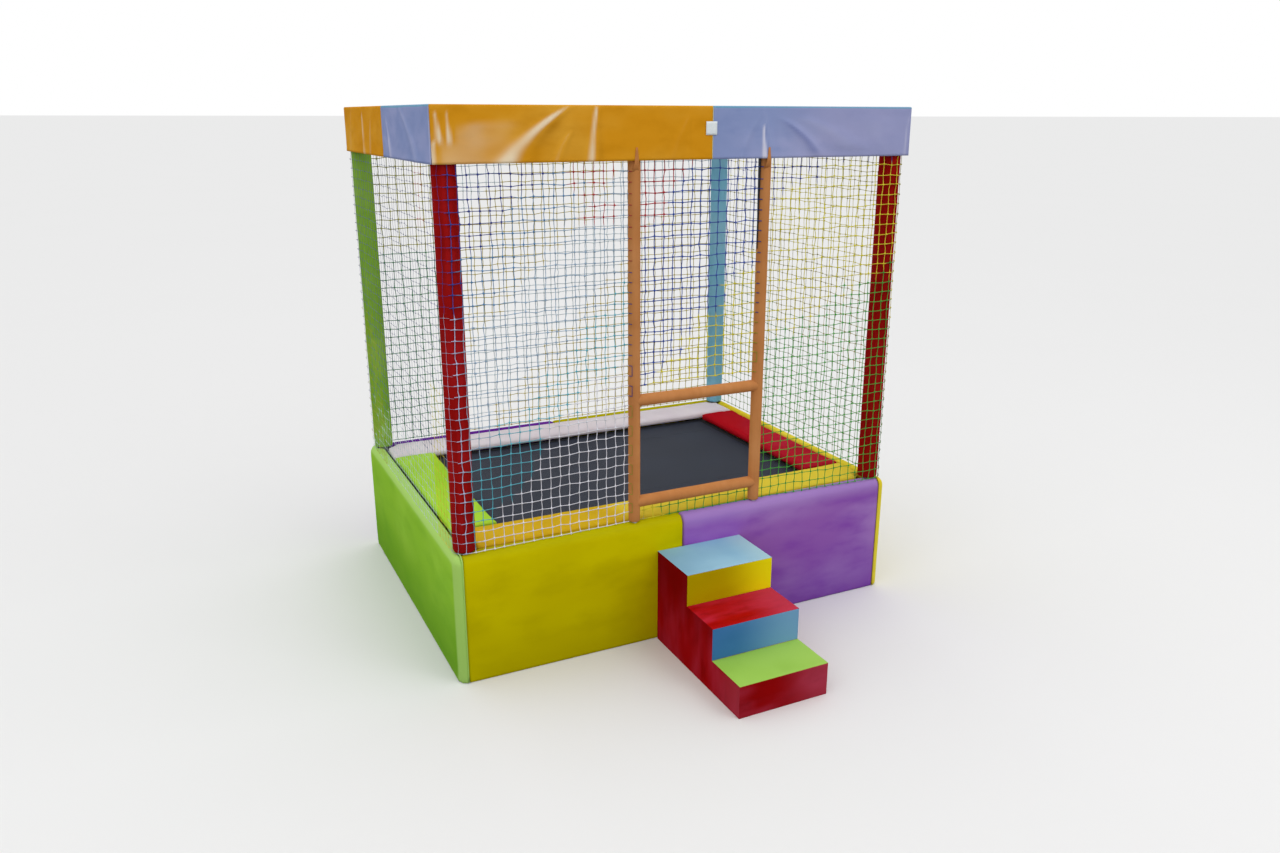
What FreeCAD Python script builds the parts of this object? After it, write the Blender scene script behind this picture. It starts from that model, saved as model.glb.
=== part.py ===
# Soft-play trampoline: a steel frame with foam-sleeved posts, a sprung jumping bed between padded
# walls, a net enclosure with a crawl-in doorway, a fabric valance and a loose block of three steps.
# Millimetres. +X runs to the right along the front, +Y from the front to the back, +Z up.
# The origin is on the floor, in the middle of the whole footprint, steps included.
import FreeCAD, Part
import math, os

os.makedirs("parts", exist_ok=True)

# Overall
base_length = 2500.0          # outside the walls, along the front
base_depth = 1885.0           # outside the walls, front to back
overall_height = 2645.0       # floor to the top of the valance
running_gap = 0.3             # between a loose or sprung end and its seat
slip_gap = 0.1                # radial, between a tube and what clamps it

# Padded walls
wall_height = 662.0
wall_thickness = 78.0
wall_edge_radius = 46.0       # top outer edges and upright corners
wall_seam_x = -45.0           # joint between the two front walls, and between the two back walls
post_notch_radius = 38.0      # cut out of the walls' inner corners for the posts

# Steel posts and rails
tube_radius = 24.15           # 48.3 mm tube
tube_wall = 2.9
post_inset = 80.0             # post axis from the two outer faces
sleeve_radius = 55.0          # foam over posts and rails
sleeve_clearance = 0.35
foot_plate_thickness = 8.0
foot_plate_disc_radius = 36.0
foot_plate_reach = 110.0      # from the post axis towards the middle
anchor_hole_radius = 5.5
anchor_spacing = 50.0
anchor_offset = 70.0          # pattern centre from the post axis
fitting_radius = 32.0
fitting_reach = 60.0          # from the post axis to a socket's mouth
fitting_stop = 26.0           # from the post axis to a tube's end
screw_radius = 4.0
screw_stand = 2.0             # how far a set screw stands out of its socket

# Valance
valance_drop = 236.0
valance_inset = 16.0          # its outer face from the walls' outer face
valance_thickness = 1.5
valance_flap = 60.0           # turned in over the rails
valance_seat_gap = 0.5        # between the flap and the rails' sleeves
front_valance_seam_x = 80.0
side_valance_seam = 911.0     # from the front outer face

# Net
net_pitch = 50.0
net_cord = 3.0
net_layer_gap = 0.1           # between the level cords and the upright cords
net_clearance = 1.0           # behind the valance
net_foot = 2.0                # lowest row above the walls' top

# Bed frame, bed and springs
frame_inset = 110.0           # outer faces of the bed frame
frame_tube = 50.0
frame_tube_wall = 3.0
pad_thickness = 40.0
pad_inset = 80.0              # the pads' outer edges from the outer faces
pad_reach = 335.0             # the pads' inner edges from the outer faces
pad_gap = 1.0                 # between neighbouring pads
pad_seat_gap = 0.5            # between the pads and the bed frame
pad_post_clearance = 4.0
pad_edge_radius = 10.0
bed_inset = 300.0
bed_thickness = 4.0
bed_below_pads = 11.0         # bed's upper face under the pads' lower face
webbing_width = 33.0
webbing_thickness = 2.0
spring_pitch = 110.0
spring_edge = 60.0            # least distance from the last spring to the bed's corner
spring_radius = 10.0
spring_hook_radius = 2.5
spring_body = 70.0
lug_reach = 12.0
lug_width = 16.0
lug_height = 10.0
ring_depth = 24.0
ring_wide_end = 28.0
ring_narrow_end = 9.0
ring_bar = 4.0
leg_tube = 40.0
leg_foot_size = 60.0
leg_foot_height = 12.0
leg_end_inset = 300.0         # outer legs' axes from the end faces
bracket_radius = 34.0
bracket_height = 40.0
bracket_width = 40.0
tie_width = 40.0
tie_thickness = 6.0
long_tie_spacing = 700.0
short_tie_spacing = 400.0

# Doorway
door_axis_x = 45.0
door_pitch = 697.0            # between the two door posts' axes
door_inset = 49.0             # door posts' axes from the front outer face
door_sleeve_radius = 30.0
door_tube_radius = 16.85      # 33.7 mm tube
door_tube_wall = 2.6
lower_bar_z = 763.0
upper_bar_z = 1286.0
clamp_radius = 24.0
clamp_length = 55.0
clamp_top_drop = 33.0         # door tube's top below the rail's axis
clamp_window = 80.0           # gap left in the rail's sleeve for a clamp

# Steps
step_width = 480.0
step_rise = 165.0
step_tread_top = 315.0
step_tread_middle = 250.0
step_tread_bottom = 250.0
step_gap = 0.3                # between the steps and the wall
step_cover = 1.5

# Worked out
V = FreeCAD.Vector
half_length = base_length / 2
half_depth = base_depth / 2
step_treads = (step_tread_top, step_tread_middle, step_tread_bottom)
step_reach = sum(step_treads)
front_y = (step_reach + step_gap - base_depth) / 2
back_y = front_y + base_depth
mid_y = front_y + half_depth
rail_z = overall_height - valance_thickness - valance_seat_gap - sleeve_radius
sleeve_top = rail_z - fitting_reach
pad_bottom = wall_height - pad_thickness
frame_top = pad_bottom - pad_seat_gap
frame_bottom = frame_top - frame_tube
bed_top = pad_bottom - bed_below_pads
bed_mid = bed_top - bed_thickness / 2
net_inset = valance_inset + valance_thickness + net_clearance
net_top = sleeve_top
door_left_x = door_axis_x - door_pitch / 2
door_right_x = door_axis_x + door_pitch / 2
door_y = front_y + door_inset
corners = {"front_left": (-1, -1), "front_right": (1, -1), "back_left": (-1, 1), "back_right": (1, 1)}


def corner_at(side_x, side_y, inset):
    return V(side_x * (half_length - inset), mid_y + side_y * (half_depth - inset), 0)


def box(x0, x1, y0, y1, z0, z1):
    low = V(min(x0, x1), min(y0, y1), min(z0, z1))
    return Part.makeBox(abs(x1 - x0), abs(y1 - y0), abs(z1 - z0), low)


def rod(radius, start, end):
    return Part.makeCylinder(radius, (end - start).Length, start, end - start)


def tube(radius, wall, start, end):
    return rod(radius, start, end).cut(rod(radius - wall, start, end))


def prism(points, height):
    outline = Part.makePolygon(points + [points[0]])
    return Part.Face(outline).extrude(height)


def write(name, solids):
    shape = solids[0] if len(solids) == 1 else Part.makeCompound(solids)
    shape.exportStep("parts/" + name + ".step")


# --- Padded walls -------------------------------------------------------------------------------
def wall_envelope():
    block = box(-half_length, half_length, front_y, back_y, 0, wall_height)
    edges = []
    for edge in block.Edges:
        low, high = edge.BoundBox.ZMin, edge.BoundBox.ZMax
        upright = high - low > 1
        if upright or low > wall_height - 1:
            edges.append(edge)
    block = block.makeFillet(wall_edge_radius, edges)
    for side_x, side_y in corners.values():
        axis = corner_at(side_x, side_y, post_inset)
        block = block.cut(rod(post_notch_radius, axis, axis + V(0, 0, wall_height)))
    for x in (door_left_x, door_right_x):
        foot = V(x, door_y, 0)
        block = block.cut(rod(door_tube_radius + slip_gap, foot, foot + V(0, 0, wall_height)))
    return block


def make_walls():
    envelope = wall_envelope()
    lap = half_length - wall_edge_radius     # where the end walls stop, at the corners' rounding
    for name, side in (("left", -1), ("right", 1)):
        wall = box(side * (half_length - wall_thickness), side * half_length, front_y, back_y, 0, wall_height)
        for y0, y1 in ((front_y, front_y + wall_thickness), (back_y - wall_thickness, back_y)):
            wall = wall.cut(box(0, side * lap, y0, y1, 0, wall_height))
        write("wall_" + name, [envelope.common(wall)])
    for end, y0, y1 in (("front", front_y, front_y + wall_thickness), ("back", back_y - wall_thickness, back_y)):
        for name, x0, x1 in (("left", -lap, wall_seam_x), ("right", wall_seam_x, lap)):
            write("wall_" + end + "_" + name, [envelope.common(box(x0, x1, y0, y1, 0, wall_height))])


# --- Steel frame --------------------------------------------------------------------------------
def make_posts():
    plates = []
    for name, (side_x, side_y) in corners.items():
        axis = corner_at(side_x, side_y, post_inset)
        top = V(axis.x, axis.y, rail_z - fitting_stop)
        write("post_tube_" + name, [tube(tube_radius, tube_wall, axis + V(0, 0, foot_plate_thickness), top)])
        foam_foot = V(axis.x, axis.y, wall_height)
        foam_top = V(axis.x, axis.y, sleeve_top)
        hole = tube_radius + sleeve_clearance
        write("post_sleeve_" + name, [tube(sleeve_radius, sleeve_radius - hole, foam_foot, foam_top)])
        plate = rod(foot_plate_disc_radius, axis, axis + V(0, 0, foot_plate_thickness))
        inner = axis - V(side_x * foot_plate_reach, side_y * foot_plate_reach, 0)
        plate = plate.fuse(box(axis.x, inner.x, axis.y, inner.y, 0, foot_plate_thickness)).removeSplitter()
        centre = axis - V(side_x * anchor_offset, side_y * anchor_offset, 0)
        for dx in (-0.5, 0.5):
            for dy in (-0.5, 0.5):
                hole_foot = centre + V(dx * anchor_spacing, dy * anchor_spacing, 0)
                plate = plate.cut(rod(anchor_hole_radius, hole_foot, hole_foot + V(0, 0, foot_plate_thickness)))
        plates.append(plate)
    write("post_foot_plates", plates)


def rail_ends():
    reach = V(half_length - post_inset, half_depth - post_inset, 0)
    for side_y in (-1, 1):
        middle = V(0, mid_y + side_y * reach.y, rail_z)
        yield middle, V(1, 0, 0), reach.x
    for side_x in (-1, 1):
        middle = V(side_x * reach.x, mid_y, rail_z)
        yield middle, V(0, 1, 0), reach.y


def make_rails():
    rails = []
    sleeves = []
    hole = tube_radius + sleeve_clearance
    for middle, along, reach in rail_ends():
        bare = reach - fitting_stop
        rails.append(tube(tube_radius, tube_wall, middle - along * bare, middle + along * bare))
        covered = reach - fitting_reach
        spans = [(-covered, covered)]
        if along.x and middle.y < mid_y:
            half = clamp_window / 2
            spans = [(-covered, door_left_x - half), (door_left_x + half, door_right_x - half),
                     (door_right_x + half, covered)]
        for low, high in spans:
            sleeves.append(tube(sleeve_radius, sleeve_radius - hole, middle + along * low, middle + along * high))
    write("top_rails", rails)
    write("top_rail_sleeves", sleeves)


def corner_fitting(side_x, side_y):
    centre = corner_at(side_x, side_y, post_inset) + V(0, 0, rail_z)
    arms = (V(0, 0, -1), V(-side_x, 0, 0), V(0, -side_y, 0))
    screw_ways = (V(-side_x, 0, 0), V(0, 0, -1), V(0, 0, -1))
    body = Part.makeSphere(fitting_radius, centre)
    for arm in arms:
        body = body.fuse(rod(fitting_radius, centre, centre + arm * fitting_reach))
    screws = []
    for arm, way in zip(arms, screw_ways):
        body = body.cut(rod(tube_radius + slip_gap, centre + arm * fitting_stop, centre + arm * (fitting_reach + 1)))
    for arm, way in zip(arms, screw_ways):
        seat = centre + arm * ((fitting_stop + fitting_reach) / 2 + screw_radius)
        body = body.cut(rod(screw_radius + slip_gap, seat, seat + way * (fitting_radius + screw_stand)))
        screws.append(rod(screw_radius, seat + way * (tube_radius + slip_gap),
                          seat + way * (fitting_radius + screw_stand)))
    return body, screws


def door_clamp(x):
    rail = V(x, front_y + post_inset, rail_z)
    top = V(x, door_y, rail_z - clamp_top_drop)
    band = rod(fitting_radius, rail - V(clamp_radius, 0, 0), rail + V(clamp_radius, 0, 0))
    socket = rod(clamp_radius, top - V(0, 0, clamp_length), top)
    web = box(x - clamp_radius, x + clamp_radius, door_y, rail.y, top.z - clamp_length / 4, rail_z)
    body = band.fuse(socket).fuse(web).removeSplitter()
    body = body.cut(rod(tube_radius + slip_gap, rail - V(fitting_reach, 0, 0), rail + V(fitting_reach, 0, 0)))
    return body.cut(rod(door_tube_radius + slip_gap, top - V(0, 0, clamp_length + 1), top))


def make_fittings():
    bodies = []
    screws = []
    for side_x, side_y in corners.values():
        body, own = corner_fitting(side_x, side_y)
        bodies.append(body)
        screws += own
    for x in (door_left_x, door_right_x):
        bodies.append(door_clamp(x))
    write("top_fittings", bodies)
    write("fitting_set_screws", screws)


# --- Bed frame, springs and bed -----------------------------------------------------------------
def frame_bar(start, end, across):
    # start and end lie on the bar's axis; across is its level sideways direction
    size = frame_tube
    bore = frame_tube - 2 * frame_tube_wall
    solids = []
    for width in (size, bore):
        side = across * (width / 2)
        rise = V(0, 0, width / 2)
        points = [start - side - rise, start + side - rise, start + side + rise, start - side + rise]
        solids.append(prism(points, end - start))
    return solids[0].cut(solids[1])


def frame_ring():
    mid_z = frame_top - frame_tube / 2
    inset = frame_inset + frame_tube / 2
    bars = []
    for side_y in (-1, 1):
        y = mid_y + side_y * (half_depth - inset)
        reach = half_length - frame_inset
        bars.append(frame_bar(V(-reach, y, mid_z), V(reach, y, mid_z), V(0, 1, 0)))
    for side_x in (-1, 1):
        x = side_x * (half_length - inset)
        reach = half_depth - frame_inset - frame_tube
        bars.append(frame_bar(V(x, mid_y - reach, mid_z), V(x, mid_y + reach, mid_z), V(1, 0, 0)))
    return bars


def make_bed_frame():
    write("bed_frame", frame_ring())
    brackets = []
    mid_z = frame_top - frame_tube / 2
    low, high = mid_z - bracket_height / 2, mid_z + bracket_height / 2
    reach = V(half_length - frame_inset, half_depth - frame_inset, 0)
    frame_block = box(-reach.x, reach.x, mid_y - reach.y, mid_y + reach.y, low, high)
    for side_x, side_y in corners.values():
        axis = corner_at(side_x, side_y, post_inset) + V(0, 0, low)
        inward = V(-side_x, -side_y, 0).normalize()
        across = V(-inward.y, inward.x, 0) * (bracket_width / 2)
        far = axis + inward * (2 * bracket_radius)
        lug = prism([axis - across, axis + across, far + across, far - across], V(0, 0, bracket_height))
        body = rod(bracket_radius, axis, axis + V(0, 0, bracket_height)).fuse(lug).cut(frame_block)
        body = body.cut(rod(tube_radius + slip_gap, axis, axis + V(0, 0, bracket_height)))
        brackets.append(body)
    write("bed_frame_brackets", brackets)

    legs = []
    feet = []
    for side_y in (-1, 1):
        y = mid_y + side_y * (half_depth - frame_inset - frame_tube / 2)
        end_x = half_length - leg_end_inset
        for x in (-end_x, 0, end_x):
            outer, inner = leg_tube / 2, leg_tube / 2 - frame_tube_wall
            leg = box(x - outer, x + outer, y - outer, y + outer, leg_foot_height, frame_bottom)
            legs.append(leg.cut(box(x - inner, x + inner, y - inner, y + inner, leg_foot_height, frame_bottom)))
            pad = leg_foot_size / 2
            feet.append(box(x - pad, x + pad, y - pad, y + pad, 0, leg_foot_height))
    write("bed_legs", legs)
    write("leg_feet", feet)

    ties = []
    tie_low, tie_high = mid_z - tie_thickness / 2, mid_z + tie_thickness / 2
    for side_y in (-1, 1):
        y0 = mid_y + side_y * (half_depth - wall_thickness)
        y1 = mid_y + side_y * (half_depth - frame_inset)
        for x in (-long_tie_spacing, 0, long_tie_spacing):
            ties.append(box(x - tie_width / 2, x + tie_width / 2, y0, y1, tie_low, tie_high))
    for side_x in (-1, 1):
        x0, x1 = side_x * (half_length - wall_thickness), side_x * (half_length - frame_inset)
        for offset in (-short_tie_spacing, short_tie_spacing):
            y = mid_y + offset
            ties.append(box(x0, x1, y - tie_width / 2, y + tie_width / 2, tie_low, tie_high))
    write("wall_ties", ties)


def spring_sides():
    # name, point on the outer face in the side's middle, inward direction, sideways direction, spring places
    for name, out in (("front", V(0, -1, 0)), ("back", V(0, 1, 0)), ("left", V(-1, 0, 0)), ("right", V(1, 0, 0))):
        reach = half_depth if out.y else half_length
        room = (half_length if out.y else half_depth) - bed_inset - spring_edge
        count = int(room / spring_pitch)
        middle = V(out.x * reach, mid_y + out.y * reach, bed_mid)
        along = V(abs(out.y), abs(out.x), 0)
        yield name, middle, out * -1, along, [i * spring_pitch for i in range(-count, count + 1)]


def make_springs():
    frame_face = frame_inset + frame_tube
    hook_start = frame_face + lug_reach + running_gap
    ring_end = bed_inset - running_gap
    ring_start = ring_end - ring_depth
    hook_end = ring_start - running_gap
    lugs = []
    rings = []
    for name, middle, inward, along, places in spring_sides():
        springs = []
        for place in places:
            line = middle + along * place
            start, end = line + inward * hook_start, line + inward * hook_end
            centre = (start + end) * 0.5
            body = rod(spring_radius, centre - inward * (spring_body / 2), centre + inward * (spring_body / 2))
            springs.append(body.fuse(rod(spring_hook_radius, start, end)).removeSplitter())

            seat = line + inward * frame_face - V(0, 0, lug_height / 2)
            side = along * (lug_width / 2)
            tip = inward * lug_reach
            lugs.append(prism([seat - side, seat + side, seat + side + tip, seat - side + tip], V(0, 0, lug_height)))

            outline = []
            for depth, width in ((ring_start, ring_narrow_end), (ring_end, ring_wide_end)):
                outline.append((line + inward * depth, width / 2))
            floor = V(0, 0, ring_bar / 2)
            (near, near_half), (far, far_half) = outline
            outer = prism([near - along * near_half - floor, near + along * near_half - floor,
                           far + along * far_half - floor, far - along * far_half - floor], V(0, 0, ring_bar))
            near, far = near + inward * ring_bar, far - inward * ring_bar
            near_half = max(near_half - ring_bar / 2, 1.0)
            far_half = far_half - ring_bar
            hole = prism([near - along * near_half - floor, near + along * near_half - floor,
                          far + along * far_half - floor, far - along * far_half - floor], V(0, 0, ring_bar))
            rings.append(outer.cut(hole))
        write("springs_" + name, springs)
    write("spring_lugs", lugs)
    write("bed_rings", rings)


def make_bed():
    reach_x, reach_y = half_length - bed_inset, half_depth - bed_inset
    bottom = bed_top - bed_thickness
    write("jump_bed", [box(-reach_x, reach_x, mid_y - reach_y, mid_y + reach_y, bottom, bed_top)])
    strips = []
    top = bed_top + webbing_thickness
    for side in (-1, 1):
        y = mid_y + side * reach_y
        strips.append(box(-reach_x, reach_x, y, y - side * webbing_width, bed_top, top))
        x = side * reach_x
        inner = reach_y - webbing_width
        strips.append(box(x, x - side * webbing_width, mid_y - inner, mid_y + inner, bed_top, top))
    write("bed_webbing", strips)


def make_pads():
    outer_x, outer_y = half_length - pad_inset, half_depth - pad_inset
    inner_x, inner_y = half_length - pad_reach, half_depth - pad_reach
    post_hole = sleeve_radius + pad_post_clearance
    for name, side in (("front", -1), ("back", 1)):
        pad = box(-outer_x, outer_x, mid_y + side * outer_y, mid_y + side * inner_y, pad_bottom, wall_height)
        edges = [e for e in pad.Edges if e.BoundBox.ZMin > wall_height - 1 and e.BoundBox.XLength > 1
                 and abs(e.CenterOfMass.y - (mid_y + side * inner_y)) < 1]
        pad = pad.makeFillet(pad_edge_radius, edges)
        for side_x in (-1, 1):
            axis = corner_at(side_x, side, post_inset) + V(0, 0, pad_bottom)
            pad = pad.cut(rod(post_hole, axis, axis + V(0, 0, pad_thickness)))
        write("pad_" + name, [pad])
    end = inner_y - pad_gap
    for name, side in (("left", -1), ("right", 1)):
        pad = box(side * outer_x, side * inner_x, mid_y - end, mid_y + end, pad_bottom, wall_height)
        edges = [e for e in pad.Edges if e.BoundBox.ZMin > wall_height - 1 and e.BoundBox.YLength > 1
                 and abs(e.CenterOfMass.x - side * inner_x) < 1]
        write("pad_" + name, [pad.makeFillet(pad_edge_radius, edges)])


# --- Doorway ------------------------------------------------------------------------------------
def make_doorway():
    door_top = rail_z - clamp_top_drop
    foam_top = door_top - clamp_length
    hole = door_tube_radius + sleeve_clearance
    bars = {"lower": lower_bar_z, "upper": upper_bar_z}
    posts = {"left": door_left_x, "right": door_right_x}
    tubes = []
    for x in posts.values():
        tubes.append(tube(door_tube_radius, door_tube_wall, V(x, door_y, 0), V(x, door_y, door_top)))
    for z in bars.values():
        start, end = V(door_left_x, door_y, z), V(door_right_x, door_y, z)
        bar = tube(door_tube_radius, door_tube_wall, start, end)
        for x in posts.values():
            bar = bar.cut(rod(door_tube_radius, V(x, door_y, 0), V(x, door_y, door_top)))
        tubes.append(bar)
    write("door_frame_tubes", tubes)
    for name, x in posts.items():
        foot, top = V(x, door_y, wall_height), V(x, door_y, foam_top)
        sleeve = tube(door_sleeve_radius, door_sleeve_radius - hole, foot, top)
        for z in bars.values():
            sleeve = sleeve.cut(rod(hole, V(x, door_y, z), V(door_axis_x, door_y, z)))
        write("door_post_sleeve_" + name, [sleeve])
    for name, z in bars.items():
        start, end = V(door_left_x, door_y, z), V(door_right_x, door_y, z)
        sleeve = tube(door_sleeve_radius, door_sleeve_radius - hole, start, end)
        for x in posts.values():
            sleeve = sleeve.cut(rod(door_sleeve_radius + slip_gap, V(x, door_y, 0), V(x, door_y, foam_top)))
        write("door_bar_sleeve_" + name, [sleeve])


# --- Net ----------------------------------------------------------------------------------------
def offset_path(path, distance):
    # the same path, moved to its left by the distance, with mitred corners
    moved = []
    for i, point in enumerate(path):
        ways = []
        if i > 0:
            ways.append((point - path[i - 1]).normalize())
        if i < len(path) - 1:
            ways.append((path[i + 1] - point).normalize())
        normals = [V(-w.y, w.x, 0) for w in ways]
        total = normals[0] + normals[-1]
        moved.append(point + total * (2 * distance / total.dot(total)))
    return moved


def net_panel(outer, inner, low, high):
    # level cords between the two lines and upright cords inside them, the enclosure to the lines' left
    first_row = wall_height + net_foot
    rows = [first_row + k * net_pitch for k in range(int((net_top - first_row) / net_pitch) + 1)]
    cords = []
    for i in range(len(outer) - 1):
        quad = [outer[i], outer[i + 1], inner[i + 1], inner[i]]
        for z in rows:
            if low <= z <= high - net_cord:
                cords.append(prism([p + V(0, 0, z) for p in quad], V(0, 0, net_cord)))
        way = (outer[i + 1] - outer[i]).normalize()
        normal = V(-way.y, way.x, 0)
        length = (outer[i + 1] - outer[i]).Length
        count = max(1, round(length / net_pitch))
        for k in range(count):
            foot = outer[i] + way * ((k + 0.5) * length / count - net_cord / 2)
            foot = foot + normal * (net_cord + net_layer_gap) + V(0, 0, low)
            side, depth = way * net_cord, normal * net_cord
            cords.append(prism([foot, foot + side, foot + side + depth, foot + depth], V(0, 0, high - low)))
    return cords


def make_nets():
    low = wall_height + net_foot / 2
    wrap_radius = post_inset - net_inset
    wrap = post_inset - wrap_radius * math.tan(math.radians(22.5))     # where the net leaves a face
    past_post = post_inset + sleeve_radius + running_gap
    touch = door_sleeve_radius + running_gap
    door_line = door_y - net_cord
    front_line, back_line = front_y + net_inset, back_y - net_inset
    edge_x = half_length - net_inset
    turn_x, turn_y = half_length - wrap, half_depth - wrap
    start_x = half_length - past_post
    # once round the enclosure, from the doorway's right post to its left one
    ring = [V(door_right_x + touch, door_line, 0), V(start_x, front_line, 0), V(turn_x, front_line, 0),
            V(edge_x, mid_y - turn_y, 0), V(edge_x, mid_y + turn_y, 0), V(turn_x, back_line, 0),
            V(-turn_x, back_line, 0), V(-edge_x, mid_y + turn_y, 0), V(-edge_x, mid_y - turn_y, 0),
            V(-turn_x, front_line, 0), V(-start_x, front_line, 0), V(door_left_x - touch, door_line, 0)]
    inner = offset_path(ring, net_cord)
    for name, first, last in (("front_right", 0, 2), ("right", 2, 5), ("back", 5, 6), ("left", 6, 9), ("front_left", 9, 11)):
        stretch = slice(first, last + 1)
        write("net_" + name, net_panel(ring[stretch], inner[stretch], low, net_top))
    door = [V(door_left_x + touch, door_line, 0), V(door_right_x - touch, door_line, 0)]
    door_inner = offset_path(door, net_cord)
    write("net_door_upper", net_panel(door, door_inner, upper_bar_z + touch, net_top))
    write("net_door_lower", net_panel(door, door_inner, low, lower_bar_z - touch))


# --- Valance ------------------------------------------------------------------------------------
def make_valance():
    top, bottom = overall_height, overall_height - valance_drop
    under = top - valance_thickness
    out_x, out_y = half_length - valance_inset, half_depth - valance_inset
    for name, side in (("front", -1), ("back", 1)):
        y = mid_y + side * out_y
        for half, x0, x1 in (("left", -out_x, front_valance_seam_x), ("right", front_valance_seam_x, out_x)):
            sheet = box(x0, x1, y, y - side * valance_thickness, bottom, top)
            flap_end = out_x - valance_thickness
            flap = box(max(x0, -flap_end), min(x1, flap_end), y, y - side * valance_flap, under, top)
            write("valance_" + name + "_" + half, [sheet.fuse(flap).removeSplitter()])
    seam_y = front_y + side_valance_seam
    sheet_y, flap_y = out_y - valance_thickness, out_y - valance_flap
    for name, side in (("left", -1), ("right", 1)):
        x = side * out_x
        for half, way in (("front", -1), ("back", 1)):
            sheet = box(x, x - side * valance_thickness, seam_y, mid_y + way * sheet_y, bottom, top)
            flap = box(x, x - side * valance_flap, seam_y, mid_y + way * flap_y, under, top)
            write("valance_" + name + "_" + half, [sheet.fuse(flap).removeSplitter()])


# --- Steps --------------------------------------------------------------------------------------
def step_profile(inset, x):
    # the stair outline in a plane across X, drawn in from every face but the floor by the inset
    points = [V(x, front_y - step_gap - inset, 0)]
    depth = 0.0
    for i, tread in enumerate(step_treads):
        z = (len(step_treads) - i) * step_rise - inset
        points.append(V(x, points[-1].y, z))
        depth += tread
        points.append(V(x, front_y - step_gap - depth + inset, z))
    points.append(V(x, points[-1].y, 0))
    return points


def make_steps():
    low_x, high_x = door_axis_x - step_width / 2, door_axis_x + step_width / 2
    x0, x1 = low_x + step_cover, high_x - step_cover
    write("step_core", [prism(step_profile(step_cover, x0), V(x1 - x0, 0, 0))])
    back = front_y - step_gap
    top = len(step_treads) * step_rise
    sides = [prism(step_profile(0, low_x), V(step_cover, 0, 0)), prism(step_profile(0, x1), V(step_cover, 0, 0))]
    sides.append(box(x0, x1, back, back - step_cover, 0, top - step_cover))
    write("step_side_covers", sides)
    treads = []
    risers = []
    depth = 0.0
    for i, tread in enumerate(step_treads):
        z = (len(step_treads) - i) * step_rise
        rear = back - depth + (step_cover if i else 0)
        depth += tread
        nose = back - depth
        floor = z - step_rise
        treads.append(box(x0, x1, rear, nose, z - step_cover, z))
        risers.append(box(x0, x1, nose, nose + step_cover, floor, z - step_cover))
    write("step_treads", treads)
    write("step_risers", risers)


make_walls()
make_posts()
make_rails()
make_fittings()
make_bed_frame()
make_springs()
make_bed()
make_pads()
make_doorway()
make_nets()
make_valance()
make_steps()
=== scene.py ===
import math

import bmesh
import bpy
import numpy as np
from mathutils.bvhtree import BVHTree
from mathutils import Euler, Matrix, Vector, noise


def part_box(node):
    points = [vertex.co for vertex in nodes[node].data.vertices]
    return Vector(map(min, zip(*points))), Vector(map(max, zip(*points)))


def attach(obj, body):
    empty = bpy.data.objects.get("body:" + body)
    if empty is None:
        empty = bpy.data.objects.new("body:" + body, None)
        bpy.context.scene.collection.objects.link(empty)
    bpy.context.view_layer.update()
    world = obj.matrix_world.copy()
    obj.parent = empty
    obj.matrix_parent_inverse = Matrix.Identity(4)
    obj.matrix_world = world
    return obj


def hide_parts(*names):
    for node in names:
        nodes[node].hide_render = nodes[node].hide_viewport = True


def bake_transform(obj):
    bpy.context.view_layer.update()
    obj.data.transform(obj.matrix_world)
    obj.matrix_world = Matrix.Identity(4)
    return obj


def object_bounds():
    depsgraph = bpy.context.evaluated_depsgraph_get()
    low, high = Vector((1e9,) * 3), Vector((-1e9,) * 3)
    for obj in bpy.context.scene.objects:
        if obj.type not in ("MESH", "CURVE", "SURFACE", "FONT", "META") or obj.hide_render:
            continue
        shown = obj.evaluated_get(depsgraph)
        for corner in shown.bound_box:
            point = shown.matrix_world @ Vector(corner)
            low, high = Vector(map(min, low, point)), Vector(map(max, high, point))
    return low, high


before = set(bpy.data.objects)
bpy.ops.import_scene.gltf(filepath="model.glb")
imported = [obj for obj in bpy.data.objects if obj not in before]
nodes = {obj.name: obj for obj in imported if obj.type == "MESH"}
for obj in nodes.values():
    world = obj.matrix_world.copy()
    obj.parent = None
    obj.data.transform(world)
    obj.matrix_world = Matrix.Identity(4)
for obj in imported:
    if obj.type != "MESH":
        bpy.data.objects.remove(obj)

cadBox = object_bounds()
print("frame loaded:", len(nodes), "nodes")


# what is read off the frame, in metres
wallLow, wallHigh = cadBox[0].copy(), cadBox[1].copy()
wallLow.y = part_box("wall_front_left")[0].y
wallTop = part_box("wall_left")[1].z
doorLeft, doorRight = (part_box("door_post_sleeve_" + side) for side in ("left", "right"))
doorRadius = (doorLeft[1].x - doorLeft[0].x) / 2
doorY = (doorLeft[0].y + doorLeft[1].y) / 2
doorX = [(b[0].x + b[1].x) / 2 for b in (doorLeft, doorRight)]
midY = (wallLow.y + wallHigh.y) / 2


def tint(code):
    # "rrggbb" as the eye reads it, to the linear values that the nodes mix
    parts = [int(code[i:i + 2], 16) / 255 for i in (0, 2, 4)]
    return tuple(c / 12.92 if c < 0.04045 else ((c + 0.055) / 1.055) ** 2.4 for c in parts)


class Value:
    # a node's output, so that sums on it read as sums
    def __init__(self, shader, socket):
        self.shader, self.socket = shader, socket

    def __add__(self, other):
        return self.shader.sum("ADD", self, other)

    def __radd__(self, other):
        return self.shader.sum("ADD", other, self)

    def __sub__(self, other):
        return self.shader.sum("SUBTRACT", self, other)

    def __rsub__(self, other):
        return self.shader.sum("SUBTRACT", other, self)

    def __mul__(self, other):
        return self.shader.sum("MULTIPLY", self, other)

    def __rmul__(self, other):
        return self.shader.sum("MULTIPLY", other, self)

    def __gt__(self, other):
        return self.shader.sum("GREATER_THAN", self, other)


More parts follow.
